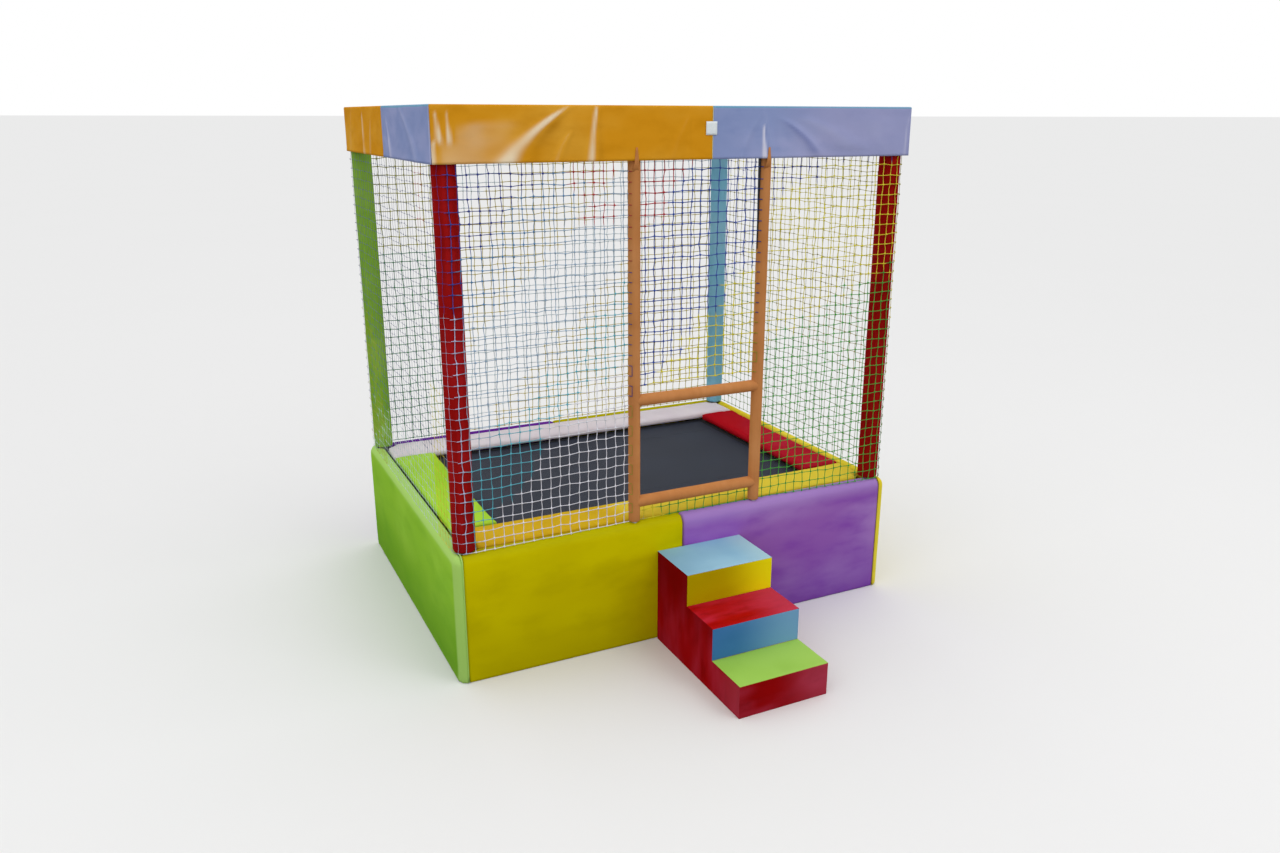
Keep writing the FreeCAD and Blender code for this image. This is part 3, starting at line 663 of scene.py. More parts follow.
valanceShape = {"mitre": 0.0006, "step": 0.012, "rows": 20, "thickness": 0.0015, "flap": 0.058,
                "bend": 0.006, "hem": 0.022, "hemProud": 0.0008, "belly": 0.003, "billow": 0.0028,
                "crease": 0.0009, "heldEnd": 0.06}
valances = {
    # node: (cover, folds); a fold: place at the top and at the hem, from and to down the drop,
    # width at the top and at the hem, depth, strength of its painted highlight (below zero, painted shade)
    "valance_front_left": ("orangeValance", [
        (-0.62, -0.9, 0.0, 1.0, 0.016, 0.064, 0.01, 0.95),
        (-0.62, -0.69, 0.45, 1.0, 0.01, 0.02, 0.004, 0.35),
        (-0.495, -0.523, 0.0, 1.0, 0.01, 0.024, 0.008, 1.1),
        (-1.21, -1.195, 0.1, 0.62, 0.01, 0.014, 0.0025, 0.75),
        (-1.16, -1.155, 0.1, 0.62, 0.007, 0.012, 0.0025, 0.75),
        (-1.222, -1.23, 0.6, 1.0, 0.01, 0.016, 0.0015, 0.9),
        (-0.036, -0.042, 0.0, 1.0, 0.003, 0.003, 0.001, 0.35),
        (-0.036, -0.122, 0.15, 1.0, 0.01, 0.03, 0.0045, 0.12),
        (-0.9, -1.05, 0.25, 1.0, 0.16, 0.3, 0.003, 0.46), (-0.3, -0.24, 0.2, 1.0, 0.06, 0.08, 0.003, 0.0)]),
    "valance_front_right": ("lilacValance", [
        (0.35, 0.366, 0.25, 1.0, 0.004, 0.016, 0.007, 1.3),
        (0.356, 0.405, 0.0, 1.0, 0.012, 0.024, 0.006, 0.2),
        (0.33, 0.235, 0.2, 1.0, 0.01, 0.014, 0.0035, 0.2),
        (0.44, 0.66, 0.2, 0.9, 0.024, 0.044, 0.008, -0.35), (0.56, 0.86, 0.2, 0.8, 0.05, 0.1, 0.006, 0.2),
        (1.02, 1.08, 0.2, 0.9, 0.09, 0.11, 0.004, 0.16),
        (1.222, 1.206, 0.15, 1.0, 0.007, 0.014, 0.003, 0.65)]),
    "valance_left_front": ("lilacValance", [
        (0.28, 0.2, 0.2, 1.0, 0.012, 0.03, 0.006, 0.7), (0.02, -0.28, 0.0, 1.0, 0.02, 0.06, 0.007, 0.25),
        (-0.5, -0.505, 0.0, 1.0, 0.008, 0.012, 0.0015, 0.6)]),
    "valance_left_back": ("orangeValance", [
        (0.84, 0.8, 0.1, 1.0, 0.012, 0.03, 0.008, 0.65), (0.62, 0.66, 0.2, 1.0, 0.014, 0.024, 0.006, 0.35),
        (1.12, 1.18, 0.0, 1.0, 0.016, 0.04, 0.006, 0.2)]),
    "valance_back_left": ("lilacValance", [
        (-0.92, -0.74, 0.0, 1.0, 0.016, 0.055, 0.008, 0.4),
        (-0.4, -0.47, 0.1, 1.0, 0.012, 0.026, 0.007, 0.5),
        (-0.12, -0.05, 0.3, 1.0, 0.02, 0.04, 0.005, 0.15)]),
    "valance_back_right": ("orangeValance", [
        (0.3, 0.22, 0.0, 1.0, 0.01, 0.026, 0.008, 0.6), (0.72, 0.92, 0.1, 1.0, 0.02, 0.06, 0.007, 0.3),
        (1.12, 1.1, 0.0, 0.8, 0.008, 0.014, 0.004, 0.4)]),
    "valance_right_front": ("orangeValance", [
        (-0.32, -0.2, 0.0, 1.0, 0.014, 0.046, 0.008, 0.5),
        (0.04, 0.06, 0.2, 1.0, 0.008, 0.018, 0.006, 0.6), (0.26, 0.2, 0.1, 1.0, 0.02, 0.036, 0.005, 0.15)]),
    "valance_right_back": ("lilacValance", [
        (0.6, 0.52, 0.1, 1.0, 0.012, 0.03, 0.007, 0.45), (0.86, 1.02, 0.0, 1.0, 0.02, 0.06, 0.007, 0.2),
        (1.2, 1.18, 0.2, 1.0, 0.01, 0.018, 0.004, 0.4)]),
}
valanceReach = [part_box("valance_left_front")[0].copy(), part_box("valance_right_back")[1].copy()]


def foldsAt(x, down, folds):
    # how far the folds push the cloth out at a place, and the painted highlight and shade they put there
    out, lit = valanceShape["belly"] * down, 0.0
    for crest, hem, begin, end, narrow, broad, depth, pale in folds:
        part = (down - begin) / (end - begin)
        if -0.25 < part < 1.25:
            fade = min(1, max(0, (part + 0.06) / 0.2)) * min(1, max(0, (1.2 - part) / 0.25))
            middle = crest + (hem - crest) * (part + 0.12 * math.sin(math.pi * part))
            off = (x - middle) / (narrow + (broad - narrow) * max(0, part))
            out += depth * fade * math.exp(-off * off) * (0.3 + 0.7 * min(1, down * 1.4))
            # pale sets this fold's painted highlight just to the low-x side of the crest, with a weaker
            # painted shade past its other side; a negative pale paints shade
            lit += pale * fade * (math.exp(-1.5 * (off + 0.25) ** 2) - 0.25 * math.exp(-(off - 1.5) ** 2))
    return out, lit


def hangValance(node, cover, folds, seed):
    shape = valanceShape
    low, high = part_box(node)
    along = 0 if node.startswith(("valance_front", "valance_back")) else 1
    outer = -1.0 if node.startswith(("valance_front", "valance_left")) else 1.0
    face = (low if outer < 0 else high)[1 - along]
    first, last = low[along], high[along]
    length, fall = last - first, high.z - low.z
    corner = [abs(first - valanceReach[0][along]) < 0.01, abs(last - valanceReach[1][along]) < 0.01]
    points, shine = [], []

    def put(x, back, z):
        points.append((x, face - outer * back, z) if along == 0 else (face - outer * back, x, z))

    def mitred(x, depth):
        # the top flap is cut back at 45 degrees where it meets the next side's
        left, right = depth * corner[0], depth * corner[1]
        return first + left + (x - first) * (length - left - right) / length

    run = [first + share * length for share in np.arange(0, 1, shape["step"] / length).tolist() + [1.0]]
    for inner in (0.0, shape["thickness"]):
        bend = shape["bend"] - inner
        for x in run:
            for k in range(shape["rows"] + 1):
                z = low.z + (fall - shape["bend"]) * k / shape["rows"]
                down = (high.z - z) / fall
                bulge, lit = foldsAt(x, down, folds)
                # lit is the painted highlight (below zero, painted shade), kept in the foldLight attribute
                lit *= 0.8 + 0.5 * drift(x * 9, z * 12, seed + 2)
                shine.append(min(0.9, max(-0.5, lit + 0.05 * drift(x * 3, z * 5, seed + 6))))
                bulge += shape["billow"] * down * (0.5 + drift(x * 6, z * 5, seed))
                bulge += shape["crease"] * drift(x * 26, z * 18, seed + 4)
                bulge = max(0.0, bulge) * (0.3 + 0.7 * min(1, min(x - first, last - x) / shape["heldEnd"]))
                put(x, inner - bulge - shape["hemProud"] * (z - low.z < shape["hem"]), z)
            for k in range(1, 4):          # the bend over the rail, and then the flap
                turn = math.pi / 2 * k / 3
                reach = shape["bend"] - bend * math.cos(turn)
                put(mitred(x, reach), reach, high.z - shape["bend"] + bend * math.sin(turn))
            for k in range(1, 6):
                reach = shape["bend"] + (shape["flap"] - shape["bend"]) * k / 5
                put(mitred(x, reach + shape["mitre"]), reach, high.z - inner)
            shine += [0.0] * 8
    faces = closedFaces(len(run), shape["rows"] + 9)
    piece = makePiece(node + "_sheet", points, faces, covers[cover], "root", [node])
    piece.data.attributes.new("foldLight", "FLOAT", "POINT").data.foreach_set("value", shine)


for index, (node, (cover, folds)) in enumerate(valances.items()):
    hangValance(node, cover, folds, index * 3.7)


tagShape = {"cells": 6, "rim": 0.55, "sunk": 0.34, "puff": 0.0004}


def sewTag(name, corners, look, normal, thick, rests, sink=0.0):
    # a small flat piece of cloth with its edge turned, from its outline's corners
    a, b, c, d = np.array(corners, float)
    cells, points = tagShape["cells"], []
    for layer in (0, 1):
        for i in range(cells + 1):
            left, right = a + (d - a) * i / cells, b + (c - b) * i / cells
            for k in range(cells + 1):
                spot = left + (right - left) * k / cells
                rim = 1.0 if 0 < i < cells and 0 < k < cells else tagShape["rim"]
                spot[1] += sink * (1 - eased(i / cells, 0.0, tagShape["sunk"]))
                puff = tagShape["puff"] * drift(*spot * 40)
                points.append(spot + np.array(normal) * (thick * rim + puff) * layer)
    piece = makePiece(name, points, closedFaces(cells + 1, cells + 1), look)
    mesh = bmesh.new()
    mesh.from_mesh(piece.data)
    bmesh.ops.recalc_face_normals(mesh, faces=mesh.faces)
    mesh.to_mesh(piece.data)
    mesh.free()


tagCloth = plain("labelCloth", "e8f0f2", "f6fafa", 0.6)
label, tongue = (tagCloth, "tie_tape"), covers["copper"]
tags = {
    # name: (middle along the front, low, high, width at the foot, width at the top, thickness, proud,
    # how far the foot is tucked in, look, the side of the valance that it rests on)
    "valance_label": (0.073, 2.517, 2.577, 0.058, 0.058, 0.0009, 0.0042, 0.0, label, "left"),
    "door_tongue_left": (-0.3095, 2.362, 2.467, 0.03, 0.009, 0.0016, 0.0075, 0.015, tongue, "left"),
    "door_tongue_right": (0.386, 2.362, 2.46, 0.03, 0.009, 0.0016, 0.012, 0.0195, tongue, "right"),
}
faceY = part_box("valance_front_left")[0].y
for name, (middle, low, high, wide, narrow, thick, proud, sink, look, side) in tags.items():
    outline = [(middle + way * width / 2, faceY - proud, z) for way, width, z in
               ((-1, wide, low), (1, wide, low), (1, narrow, high), (-1, narrow, high))]
    sewTag(name, outline, look, (0, -1, 0), thick, "valance_front_%s_sheet" % side, sink)
# a thin black strip down the left side of the right door post, wider at the top
darkStripX = doorX[1] - doorRadius - 0.001
darkStrip = [(darkStripX, doorY + y, z) for y, z in ((-0.006, 1.98), (0.002, 1.98), (0.012, 2.44), (-0.012, 2.44))]
sewTag("door_dark_strip", darkStrip, (tapeWeave, "webbing"), (-1, 0, 0), 0.0018, "door_post_sleeve_right_cover")
print("valance hung")


netShape = {
    "pitch": 0.05, "cord": 0.0021, "knot": 0.0049, "knotHalf": 0.0055, "sides": 5, "inset": 0.02,
    "low": 0.6655, "high": 2.526, "jitter": 0.0022, "sway": 0.004, "lift": 0.0012, "behindValance": 2.4,
    "postAxis": 0.08, "postSleeve": 0.055, "gap": 0.0005, "laceTop": 1.42, "bakeWidth": 0.013,
}
twineColours = {
    "navy": "0c2a8c", "blue": "2048a4", "steel": "4c84b4", "teal": "50b0c4", "white": "e4e4ee",
    "yellow": "d8cc00", "olive": "a09818", "green": "309c20", "darkGreen": "146440", "red": "b00018",
    "khaki": "c4b458", "mist": "98b2ca", "moss": "989010", "fern": "5c8814", "lavender": "b4bcdc",
    "slate": "4c5c84", "pale": "c8d8e0", "brightOlive": "a8a418", "seaGreen": "1c7c40",
}
twineShare = {
    # the cord's and the knots' part of their full thickness
    "net_back": (1.1, 1.1), "net_left": (0.3, 0.3), "net_right": (0.66, 0.66),
    "net_front_right": (0.88, 1.0), "net_front_left": (0.84, 1.05), "net_door_upper": (1.1, 1.2),
}
netBands = {
    # how much a column and a row count, and the colours by that sum, in meshes from the top left
    "net_front_left": (1, 1, [(12, "navy"), (17, "steel"), (30, "mist"), (37, "teal"), (99, "white")]),
    "net_door_upper": (1, 1, [(8, "red"), (24, "blue"), (99, "yellow")]),
    "net_door_lower": (1, 0.2, [(7, "khaki"), (9, "yellow"), (99, "green")]),
    "net_front_right": (0.5, 1, [(6, "navy"), (20.5, "yellow"), (99, "green")]),
    "net_left": (0.1, 1, [(32, "slate"), (99, "pale")]),
    "net_back": (1, 1, [(14, "olive"), (22, "pale"), (38, "khaki"), (50, "pale"), (99, "khaki")]),
    "net_right": (0.3, 1, [(9, "olive"), (18, "yellow"), (28, "moss"), (99, "fern")]),
}
netPatches = {
    # (first and last column, first and last row, colour, share of the meshes)
    "net_front_left": [(12, 16, 0, 8, "red", 0.75), (13, 17, 32, 38, "white", 0.4),
                       (0, 0, 0, 15, "navy", 1), (0, 0, 15, 38, "lavender", 1)],
    "net_left": [(30, 34, 1, 8, "red", 0.8), (33, 40, 0, 15, "navy", 1), (33, 40, 15, 38, "lavender", 1),
                 (31, 34, 22, 38, "yellow", 1), (0, 8, 20, 38, "olive", 0.6)],
    "net_back": [(0, 9, 0, 14, "brightOlive", 1), (0, 9, 14, 38, "seaGreen", 1)],
    "net_right": [(28, 40, 0, 8, "navy", 0.4)],
    "net_front_right": [(8, 17, 0, 3, "navy", 0.5)],
}
laceColours = {"net_front_left": [(12, "red"), (25, "navy"), (99, "olive")],
               "net_door_upper": [(18, "navy"), (99, "olive")]}


def twineShader():
    s = Shader("netTwine", Sheen_Weight=0.1)
    fibre = s.span(s.cloud(700, 3), 0.3, 0.7, 0.82, 1.12)
    grey = s.add("ShaderNodeCombineColor", None, {0: fibre, 1: fibre, 2: fibre})
    lit = s.mix(1.0, s.attribute("twineColour", 0), grey, "MULTIPLY")
    return s.wear(Base_Color=lit, Roughness=0.5 + fibre * 0.1, Normal=s.bump(s.cloud(1400, 2), 0.0003, 0.6))


def ringOfNet():
    # the level cords' line round the enclosure, seen from above: from the doorway's right post to its left
    inset, axis = netShape["inset"], netShape["postAxis"]
    turn = axis - (axis - inset) * math.tan(math.radians(22.5))
    x0, x1, y0, y1 = wallLow.x, wallHigh.x, wallLow.y, wallHigh.y
    past, gap = axis + netShape["postSleeve"] + 0.0003, doorRadius + netShape["gap"]
    return [(doorX[1] + gap, doorY), (x1 - past, y0 + inset), (x1 - turn, y0 + inset),
            (x1 - inset, y0 + turn), (x1 - inset, y1 - turn), (x1 - turn, y1 - inset),
            (x0 + turn, y1 - inset), (x0 + inset, y1 - turn), (x0 + inset, y0 + turn),
            (x0 + turn, y0 + inset), (x0 + past, y0 + inset), (doorX[0] - gap, doorY)]


def stations(line):
    # places along the line, cell edges and half way between them the knots, and the line's way there
    plan, ways, knots = [], [], []
    line = [Vector((*spot, 0)) for spot in line]
    for a, b in zip(line[:-1], line[1:]):
        cells = max(1, round((b - a).length / netShape["pitch"]))
        for k in range(2 * cells + (b == line[-1])):
            plan.append(a.lerp(b, k / (2 * cells)))
            ways.append((b - a).normalized())
            knots.append(k % 2 == 1)
    return np.array(plan), np.array(ways), np.array(knots)


def bandColour(bands, index):
    return next(tone for limit, tone in bands if index < limit)


def twineTones(name, columns, rows, backwards, seed, rng):
    # each mesh's colour, by its place from the top left
    perColumn, perRow, bands = netBands[name]
    palette = {tone: np.array(tint(code)) for tone, code in twineColours.items()}
    fromTop = (netShape["high"] - rows) / netShape["pitch"]

    def colourAt(i, j):
        column, row = (columns - 1 - i) if backwards else i, fromTop[j]
        index = column * perColumn + row * perRow + rng.normal(0, 0.7)
        shade = bandColour(bands, index + 1.6 * drift(i * 0.35, j * 0.35, seed))
        chance, depth = rng.random(), rng.uniform(0.85, 1.1)
        for c0, c1, r0, r1, tone, share in netPatches.get(name, ()):
            if c0 <= column <= c1 and r0 <= row <= r1 and chance < share:
                shade = tone
        return palette[shade] * depth

    shades = np.array([[colourAt(i, j) for j in range(len(rows))] for i in range(columns)])
    laces = laceColours.get(name, [(99, "navy")])
    return shades, [palette[bandColour(laces, row)] * 0.9 for row in fromTop]


class Cords:
    # tubes gathered into one mesh, each ring with its colour and its place on the unrolled net
    def __init__(self, sides):
        self.sides, self.count = sides, 0
        self.points, self.faces, self.colours, self.unroll = [], [], [], []

    def add(self, rings, level=None):
        # rings of (centre, first way, second way, radius, colour, place along the net); level or upright
        centre, first, second, radii, tones, run = (np.array(part) for part in zip(*rings))
        n, sides = len(centre), self.sides
        turns = (np.arange(sides) * 2 * np.pi / sides)[None, :, None]
        ring = np.cos(turns) * first[:, None] + np.sin(turns) * second[:, None]
        self.points.append((centre[:, None] + radii[:, None, None] * ring).reshape(-1, 3))
        self.faces.append(np.array(gridFaces(n, sides, wrap=True)) + self.count)
        self.colours.append(np.repeat(tones, sides, axis=0))
        k, m = np.tile(np.arange(sides), n - 1), np.repeat(np.arange(n - 1), sides)
        spread = (np.stack([k, k + 1, k + 1, k], 1) / sides - 0.5) * netShape["bakeWidth"]
        ends = np.stack([m, m, m + 1, m + 1], 1)
        flat = [run[ends] + spread, centre[:, 2][ends]] if level is None else [run[ends], level + spread]
        self.unroll.append(np.stack(flat, 2).reshape(-1, 2))
        self.count += n * sides


def knitNet(name, line, low, high, backwards, look, seed, wrap=()):
    s = dict(netShape)
    for key, share in zip(("cord", "knot"), twineShare.get(name, (1.0, 1.0))):
        s[key] *= share
    plan, ways, isKnot = stations(line)
    pinned = {0, len(plan) - 1}
    for i in range(1, len(plan)):          # eased round each bend
        if ways[i] @ ways[i - 1] < 0.9999:
            ways[i] = (ways[i] + ways[i - 1]) / np.linalg.norm(ways[i] + ways[i - 1])
            pinned.add(i)
    up = np.array([0, 0, 1.0])
    out = np.cross(ways, up)               # away from the enclosure
    run = np.concatenate([[0], np.cumsum(np.linalg.norm(np.diff(plan, axis=0), axis=1))])
    rows = s["low"] + s["pitch"] * np.arange(60)
    rows = rows[(rows >= low - 1e-6) & (rows <= high + 1e-6)]
    rng = np.random.default_rng(seed)
    knots = np.flatnonzero(isKnot)
    # each knot's own place, along, out and up: a jitter and a slow sway
    most = 2.2 * s["jitter"]
    shift = rng.normal(0, s["jitter"], (len(knots), len(rows), 3)).clip(-most, most) * (1, 0.5, 1)
    for i, (x, y, _) in enumerate(plan[knots]):
        for j, z in enumerate(rows):
            shift[i, j] += (s["sway"] * drift(x * 2.6 + 9, y * 2.6, z * 2.1), 0.0004,
                            s["sway"] * drift(x * 2.1, y * 2.1, z * 2.4))
    shift[:, rows > s["behindValance"], 1] = -0.001
    shift[..., 2] *= 0.3 + 0.7 * eased(rows, low, low + 0.02)
    shades, lace = twineTones(name, len(knots), rows, backwards, seed, rng)
    cords, half = Cords(s["sides"]), s["knotHalf"]
    nearest = np.searchsorted(knots, np.arange(len(plan)))
    after = np.minimum(nearest, len(knots) - 1)
    before = np.where(isKnot, after, np.maximum(nearest - 1, 0))
    for j, z in enumerate(rows):
        big = s["knot"] if z < s["behindValance"] else s["cord"] * 1.5
        place = []
        for m, spot in enumerate(plan):
            d = (shift[before[m], j] + shift[after[m], j]) / 2 * (m not in pinned, 1, 1)
            place.append(spot + ways[m] * d[0] + out[m] * (d[1] + s["lift"]) + up * (z + d[2]))
        rings = []
        for m, spot in enumerate(place):
            for side in (-1, 0, 1) if isKnot[m] else (0,):
                toward = place[m + side] - spot
                toward = toward * half / max(np.linalg.norm(toward), 1e-9)
                radius = big if isKnot[m] and not side else s["cord"]
                rings.append((spot + toward, out[m], up, radius, shades[after[m], j], run[m] + side * half))
        for x, y, way in wrap:             # round the door post's near half
            rings.append(((x, y, place[-1][2]), way, up, s["cord"], lace[j], rings[-1][5] + 0.012))
        cords.add(rings, z)
        if wrap and j + 1 < len(rows) and z < s["laceTop"] and j % 2:    # the lacing down the post
            (x, y, foot), way, _, _, tone, last = rings[-1]
            cords.add([((x, y, foot + s["pitch"] * part), way, (-way[1], way[0], 0), s["cord"] * 0.8, tone,
                        last) for part in (0, 0.5, 1)])
    for i, m in enumerate(knots):
        spot = [plan[m] + ways[m] * d[0] + out[m] * (d[1] - s["lift"]) + up * (z + d[2])
                for z, d in zip(rows, shift[i])]
        spot = [spot[0] - up * 0.05, *spot, spot[-1] + up * 0.05]
        rings = [(spot[1] - up * rng.uniform(0.002, 0.008), s["cord"], 0)]
        for j, z in enumerate(rows):
            big = s["knot"] if z < s["behindValance"] else s["cord"] * 1.5
            for side in (-1, 0, 1)[j == 0:]:
                toward = spot[j + 1 + side] - spot[j + 1]
                toward = toward * half / max(np.linalg.norm(toward), 1e-9)
                rings.append((spot[j + 1] + toward, s["cord"] if side else big, j))
            if j + 1 < len(rows):
                sway = out[m] * rng.normal(0, 0.0006) + ways[m] * rng.normal(0, 0.001)
                rings.append(((spot[j + 1] + spot[j + 2]) / 2 + sway, s["cord"], j + 1))
        end = spot[-2] * (1, 1, 0) + up * min(high + 0.001, spot[-2][2] + 0.04)
        if end[2] > rings[-1][0][2] + 0.002:
            rings.append((end, s["cord"], -1))
        cords.add([(at, out[m], ways[m], radius, shades[i, j], run[m]) for at, radius, j in rings])
    points = np.concatenate(cords.points)
    piece = makePiece(name + "_twine", points, np.concatenate(cords.faces).tolist(), look, "root", [name])
    tone = piece.data.color_attributes.new("twineColour", "FLOAT_COLOR", "POINT")
    rgba = np.ones((len(points), 4), np.float32)
    rgba[:, :3] = np.concatenate(cords.colours)
    tone.data.foreach_set("color", rgba.ravel())
    uv = np.concatenate(cords.unroll)
    uv = (uv - uv.min(0)) / np.ptp(uv, axis=0) * 0.998 + 0.001
    layer = piece.data.uv_layers.new(name="OFBake")
    layer.uv.foreach_set("vector", uv.astype(np.float32).ravel())


def postWrap(x):
    # the level cords' last turn over a door post's left front quarter
    radius, found = doorRadius + netShape["cord"] * 0.8, []
    for degrees in (196, 206, 216, 226):
        way = (math.cos(math.radians(degrees)), math.sin(math.radians(degrees)), 0)
        found.append((x + radius * way[0], doorY + radius * way[1], way))
    return found


twine = (twineShader(), "net_cord")
ring = ringOfNet()
gap = doorRadius + netShape["gap"]
barLow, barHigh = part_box("door_bar_sleeve_lower"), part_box("door_bar_sleeve_upper")
nets = {
    "net_front_right": (ring[0:3], False), "net_right": (ring[2:6], False), "net_back": (ring[5:7], True),
    "net_left": (ring[6:10], False), "net_front_left": (ring[9:12], False),
}
netLow, netHigh = netShape["low"], netShape["high"]
for index, (name, (line, backwards)) in enumerate(nets.items()):
    knitNet(name, line, netLow, netHigh, backwards, twine, 11 + index,
            postWrap(doorX[0]) if name == "net_front_left" else ())
across = [(doorX[0] + gap, doorY), (doorX[1] - gap, doorY)]
knitNet("net_door_upper", across, barHigh[1].z + 0.004, netHigh, False, twine, 21, postWrap(doorX[1]))
knitNet("net_door_lower", across, netLow, barLow[0].z - 0.004, False, twine, 22)
print("nets knotted")


bedShape = {"columns": 96, "rows": 64, "sag": 0.0016, "sagReach": 0.3, "ripple": 0.0006, "sink": 0.0002}


def layBed():
    low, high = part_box("jump_bed")
    columns, rows = bedShape["columns"], bedShape["rows"]
    points = []
    for top in (high.z, low.z + 0.001):
        for i in range(rows + 1):
            for j in range(columns + 1):
                x, y = low.x + (high.x - low.x) * j / columns, low.y + (high.y - low.y) * i / rows
                inside = min(x - low.x, high.x - x, y - low.y, high.y - y)
                sag = bedShape["sag"] * min(1, inside / bedShape["sagReach"])
                sag += bedShape["ripple"] * drift(x * 5, y * 5, 2)
                points.append((x, y, top - max(0, sag) - bedShape["sink"]))
    faces = closedFaces(rows + 1, columns + 1)
    bed = makePiece("jump_bed_fabric", points, faces, (bedWeave, "bed_fabric"), "bed", ["jump_bed"])


layBed()


springShape = {"wire": 0.0021, "turns": 17, "perTurn": 8, "body": 0.62, "reach": 0.97}


def coilSprings(side):
    # a closed coil whose last turns narrow to a hook at each end
    node, parts, wire = "springs_" + side, [], springShape["wire"]
    along = 1 if side in ("front", "back") else 0
    steps = springShape["turns"] * springShape["perTurn"]
    for low, high in islands(node):
        centre, size = (low + high) / 2, high - low
        radius = min(size.z, size[1 - along]) / 2 - wire
        body = size[along] * springShape["body"]
        path = []
        for k in range(-3, steps + 4):
            turn = 2 * math.pi * k / springShape["perTurn"]
            share, spare = min(max(k / steps, 0), 1) - 0.5, max(0, -k, k - steps) / 3
            away = share * body + math.copysign(spare * (size[along] - body) / 2, share)
            spot = centre + Vector((0, 0, radius * (1 - spare) * math.sin(turn)))
            spot[along] += away * springShape["reach"]
            spot[1 - along] += radius * (1 - spare) * math.cos(turn)
            path.append(spot)
        parts.append(sweep(path, wire, 5))
    coil = makePiece(node + "_coils", *joined(parts), (springZinc, "spring_steel"), None, [node])
    low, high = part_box(node)
    start, end = (low + high) / 2, (low + high) / 2
    start[along], end[along] = low[along], high[along]
    if side in ("back", "right"):
        start, end = end, start
    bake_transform(coil)


for side in ("front", "back", "left", "right"):
    coilSprings(side)
print("bed and springs made")


stepShape = {"edge": 0.0015, "panel": 0.0012, "cells": 14, "bevel": 0.0016, "tuck": 0.0008,
             "behind": 0.0004, "uneven": 0.0003}


def crownedPanel(origin, along, up, normal):
    # a sewn panel: flat, rounded down to its seams, closed behind
    edge, cells = stepShape["edge"], stepShape["cells"]
    wide, tall = along.length, up.length

    def divided(size):
        near = [edge * share for share in (0, 0.25, 0.6, 1)]
        even = [edge + (size - 2 * edge) * k / cells for k in range(cells + 1)]
        return sorted({round(at, 7) for at in near + even + [size - gap for gap in near]})

    marks, levels = divided(wide), divided(tall)
    front, back = [], []
    for x in marks:
        for y in levels:
            spot = origin + along.normalized() * x + up.normalized() * y
            side = min(1, min(x, wide - x, y, tall - y) / edge)
            rise = stepShape["panel"] * math.sqrt(max(0, 1 - (1 - side) ** 2))
            rise += stepShape["uneven"] * noise.noise(spot * 14) * side
            front.append(spot + normal * (rise - stepShape["tuck"]))
            back.append(spot - normal * (stepShape["tuck"] + stepShape["behind"]))
    return front + back, closedFaces(len(marks), len(levels))


def buildSteps():
    low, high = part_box("step_side_covers")
    treads, risers = (sorted(islands(node), key=lambda b: -b[1].z)
                      for node in ("step_treads", "step_risers"))
    levels = [tread[1].z for tread in treads] + [0.0]
    # the block, from its outline across the width
    outline = [(high.y, 0.0), (high.y, levels[0])]
    for k, (front, _) in enumerate(treads):
        outline += [(front.y, levels[k]), (front.y, levels[k + 1])]
    shell = bmesh.new()
    rings = [[shell.verts.new((x, y, z)) for y, z in outline] for x in (low.x, high.x)]
    left, right = rings
    shell.faces.new(left)
    shell.faces.new(right[::-1])
    for k in range(len(outline)):
        m = (k + 1) % len(outline)
        shell.faces.new((left[m], left[k], right[k], right[m]))
    bmesh.ops.recalc_face_normals(shell, faces=shell.faces)
    bmesh.ops.bevel(shell, geom=list(shell.edges), offset=stepShape["bevel"], segments=2, affect="EDGES",
                    profile=0.6)
    mesh = bpy.data.meshes.new("step_block")
    shell.to_mesh(mesh)
    shell.free()
    block = newObject("step_block", mesh)
    finish(block, covers["redSide"], "steps", ["step_core", "step_side_covers"])
    mesh.polygons.foreach_set("use_smooth", [p.area < 0.002 for p in mesh.polygons])
    wide = Vector((high.x - low.x, 0, 0))
    backs = [high.y] + [tread[0].y for tread in treads]
    for k, colour in enumerate(("blue", "red", "green")):
        front, top = treads[k]
        sewStepPanel("tread", k, Vector((low.x, front.y, top.z)), wide, Vector((0, backs[k] - front.y, 0)),
                     Vector((0, 0, 1)), colour)
    for k, colour in enumerate(("yellow", "blue", "red")):
        front, top = risers[k]
        sewStepPanel("riser", k, Vector((low.x, front.y, levels[k + 1])), wide,
                     Vector((0, 0, top.z - levels[k + 1])), Vector((0, -1, 0)), colour)


def sewStepPanel(kind, k, origin, wide, up, normal, colour):
    panel = makePiece("step_%s_%d" % (kind, k + 1), *crownedPanel(origin, wide, up, normal),
                      covers[colour + kind.title()], "steps", ["step_%ss" % kind])


buildSteps()
print("steps built")


stitchShape = {"pitch": 0.009, "length": 0.006, "thread": 0.0006, "margin": 0.01, "rows": (0.18, 0.82)}


def sewWebbing():
    # two rows of stitches along each strip of webbing
    parts, pitch, thread = [], stitchShape["pitch"], stitchShape["thread"]
    for low, high in islands("bed_webbing"):
        size = high - low
        along = 0 if size.x > size.y else 1
        for row in stitchShape["rows"]:
            for k in range(int((size[along] - 2 * stitchShape["margin"]) / pitch)):
                a = Vector((low.x, low.y, high.z + thread * 0.3))
                a[1 - along] += size[1 - along] * row
                a[along] += stitchShape["margin"] + pitch * k
                b = a.copy()
                b[along] += stitchShape["length"]
                parts.append(sweep([a, (a + b) / 2 + Vector((0, 0, 0.0004)), b], thread, 4))
    makePiece("bed_stitching", *joined(parts), (stitchThread, "tie_tape"), "bed")


sewWebbing()
print("webbing stitched")


weltShape = {"radius": 0.0026, "step": 0.03, "sink": 0.0042, "reach": 0.01, "round": 0.03, "drop": 0.006}


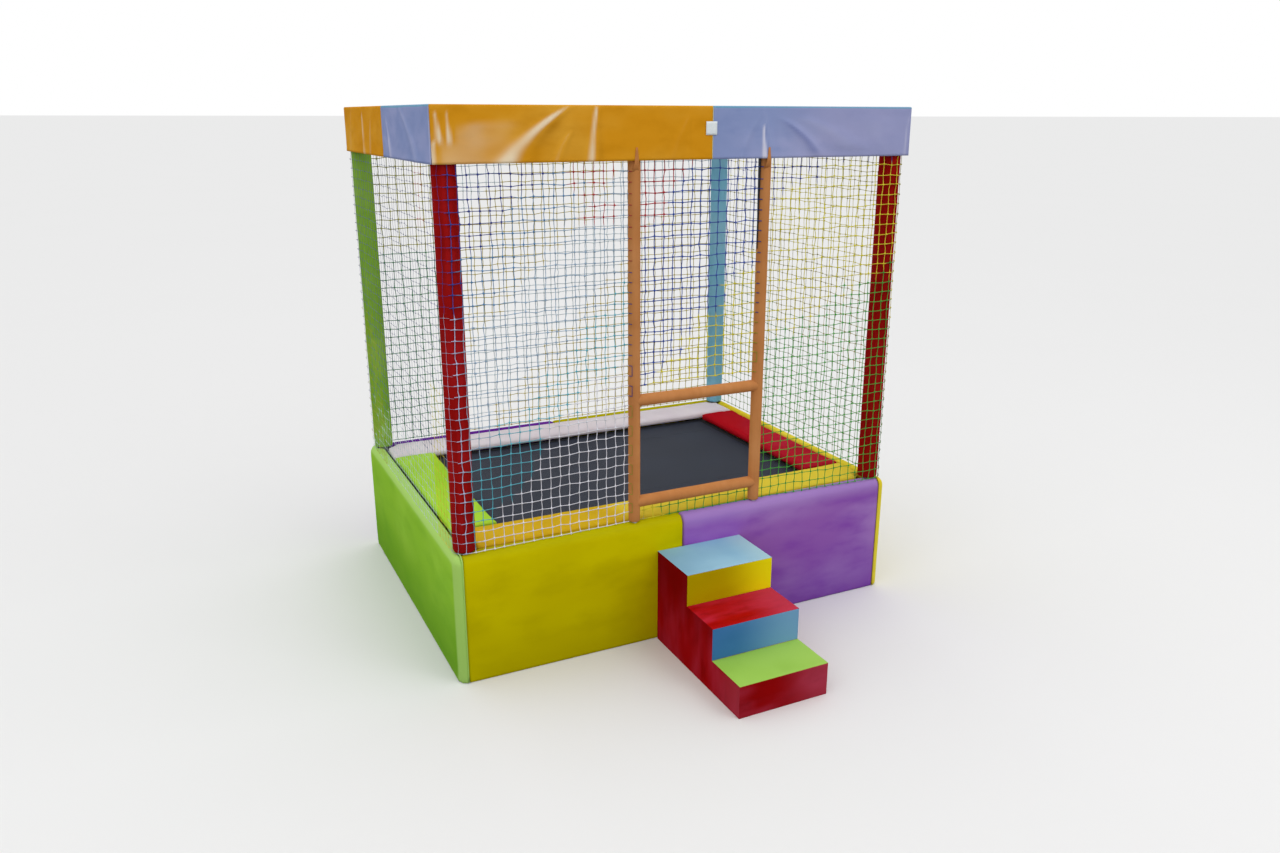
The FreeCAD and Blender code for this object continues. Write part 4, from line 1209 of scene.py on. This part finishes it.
def sewWelt(name, piece, path, look, body):
    # a corded seam laid on the piece's own surface, along places given from outside it
    mesh = piece.data
    skin = BVHTree.FromPolygons([v.co for v in mesh.vertices], [p.vertices for p in mesh.polygons])
    line = []
    for spot in path:
        hit = skin.find_nearest(spot)[0]
        line.append(hit + (spot - hit).normalized() * (weltShape["radius"] - weltShape["sink"]))
    makePiece(name, *sweep(line, weltShape["radius"], closed=True), look, body)


def padRing(low, high):
    # a level line round a pad, outside its upper edge
    bend, z, found = weltShape["round"], high.z - weltShape["drop"], []
    away = bend + weltShape["reach"]
    corners = [(high.x - bend, high.y - bend), (low.x + bend, high.y - bend),
               (low.x + bend, low.y + bend), (high.x - bend, low.y + bend)]
    for quarter, (x, y) in enumerate(corners):
        for k in range(7):
            turn = math.radians(90 * quarter + 15 * k)
            found.append(Vector((x + away * math.cos(turn), y + away * math.sin(turn), z)))
    line = []
    for a, b in zip(found, found[1:] + found[:1]):
        count = max(1, int((b - a).length / weltShape["step"]))
        line += [a.lerp(b, k / count) for k in range(count)]
    return line


for node, cover in pads.items():
    pad = bpy.data.objects[node + "_cushion"]
    sewWelt(node + "_welt", pad, padRing(*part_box(node)), covers[cover], node + "_body")
cornerWelt = {"radius": 0.004, "inset": 0.0045, "bend": 0.046, "end": 0.078, "foot": 0.006, "step": 0.05}
for front, way in (("front", -1), ("back", 1)):
    for side, cover in (("left", "greenSide"), ("right", "yellowEdge")):
        # up the wall's corner, over its top and a little way in
        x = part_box("wall_%s_%s" % (front, side))[side == "right"].x
        face, inset, bend = (wallLow.y if way < 0 else wallHigh.y), cornerWelt["inset"], cornerWelt["bend"]
        line = [(x, face - way * inset, cornerWelt["foot"] + cornerWelt["step"] * k) for k in range(12)]
        for k in range(1, 8):
            turn = math.pi / 2 * k / 8
            line.append((x, face - way * (bend - (bend - inset) * math.cos(turn)),
                         wallTop - bend + (bend - inset) * math.sin(turn)))
        line.append((x, face - way * cornerWelt["end"], wallTop - inset))
        makePiece("welt_%s_%s" % (front, side), *sweep(line, cornerWelt["radius"]), covers[cover])
print("welts sewn")


# the steel, and what else keeps the frame's own shapes
carried = {
    zinc: ("post_tube_front_left", "post_tube_front_right", "post_tube_back_left", "post_tube_back_right",
           "top_rails", "door_frame_tubes", "post_foot_plates", "wall_ties", "bed_rings",
           "fitting_set_screws"),
    castZinc: ("top_fittings",),
    enamel: ("bed_frame", "bed_frame_brackets", "bed_legs", "spring_lugs"),
    rubber: ("leg_feet",),
    tapeWeave: ("bed_webbing",),
}
for look, names in carried.items():
    for name in names:
        part = nodes[name]
        part.data.materials.clear()
        part.data.materials.append(look)
left = [n for n, part in nodes.items() if not part.hide_render and n not in sum(carried.values(), ())]
print("carried over:", sum(len(n) for n in carried.values()), "still plain:", left)

bpy.context.scene.view_settings.view_transform = "Standard"
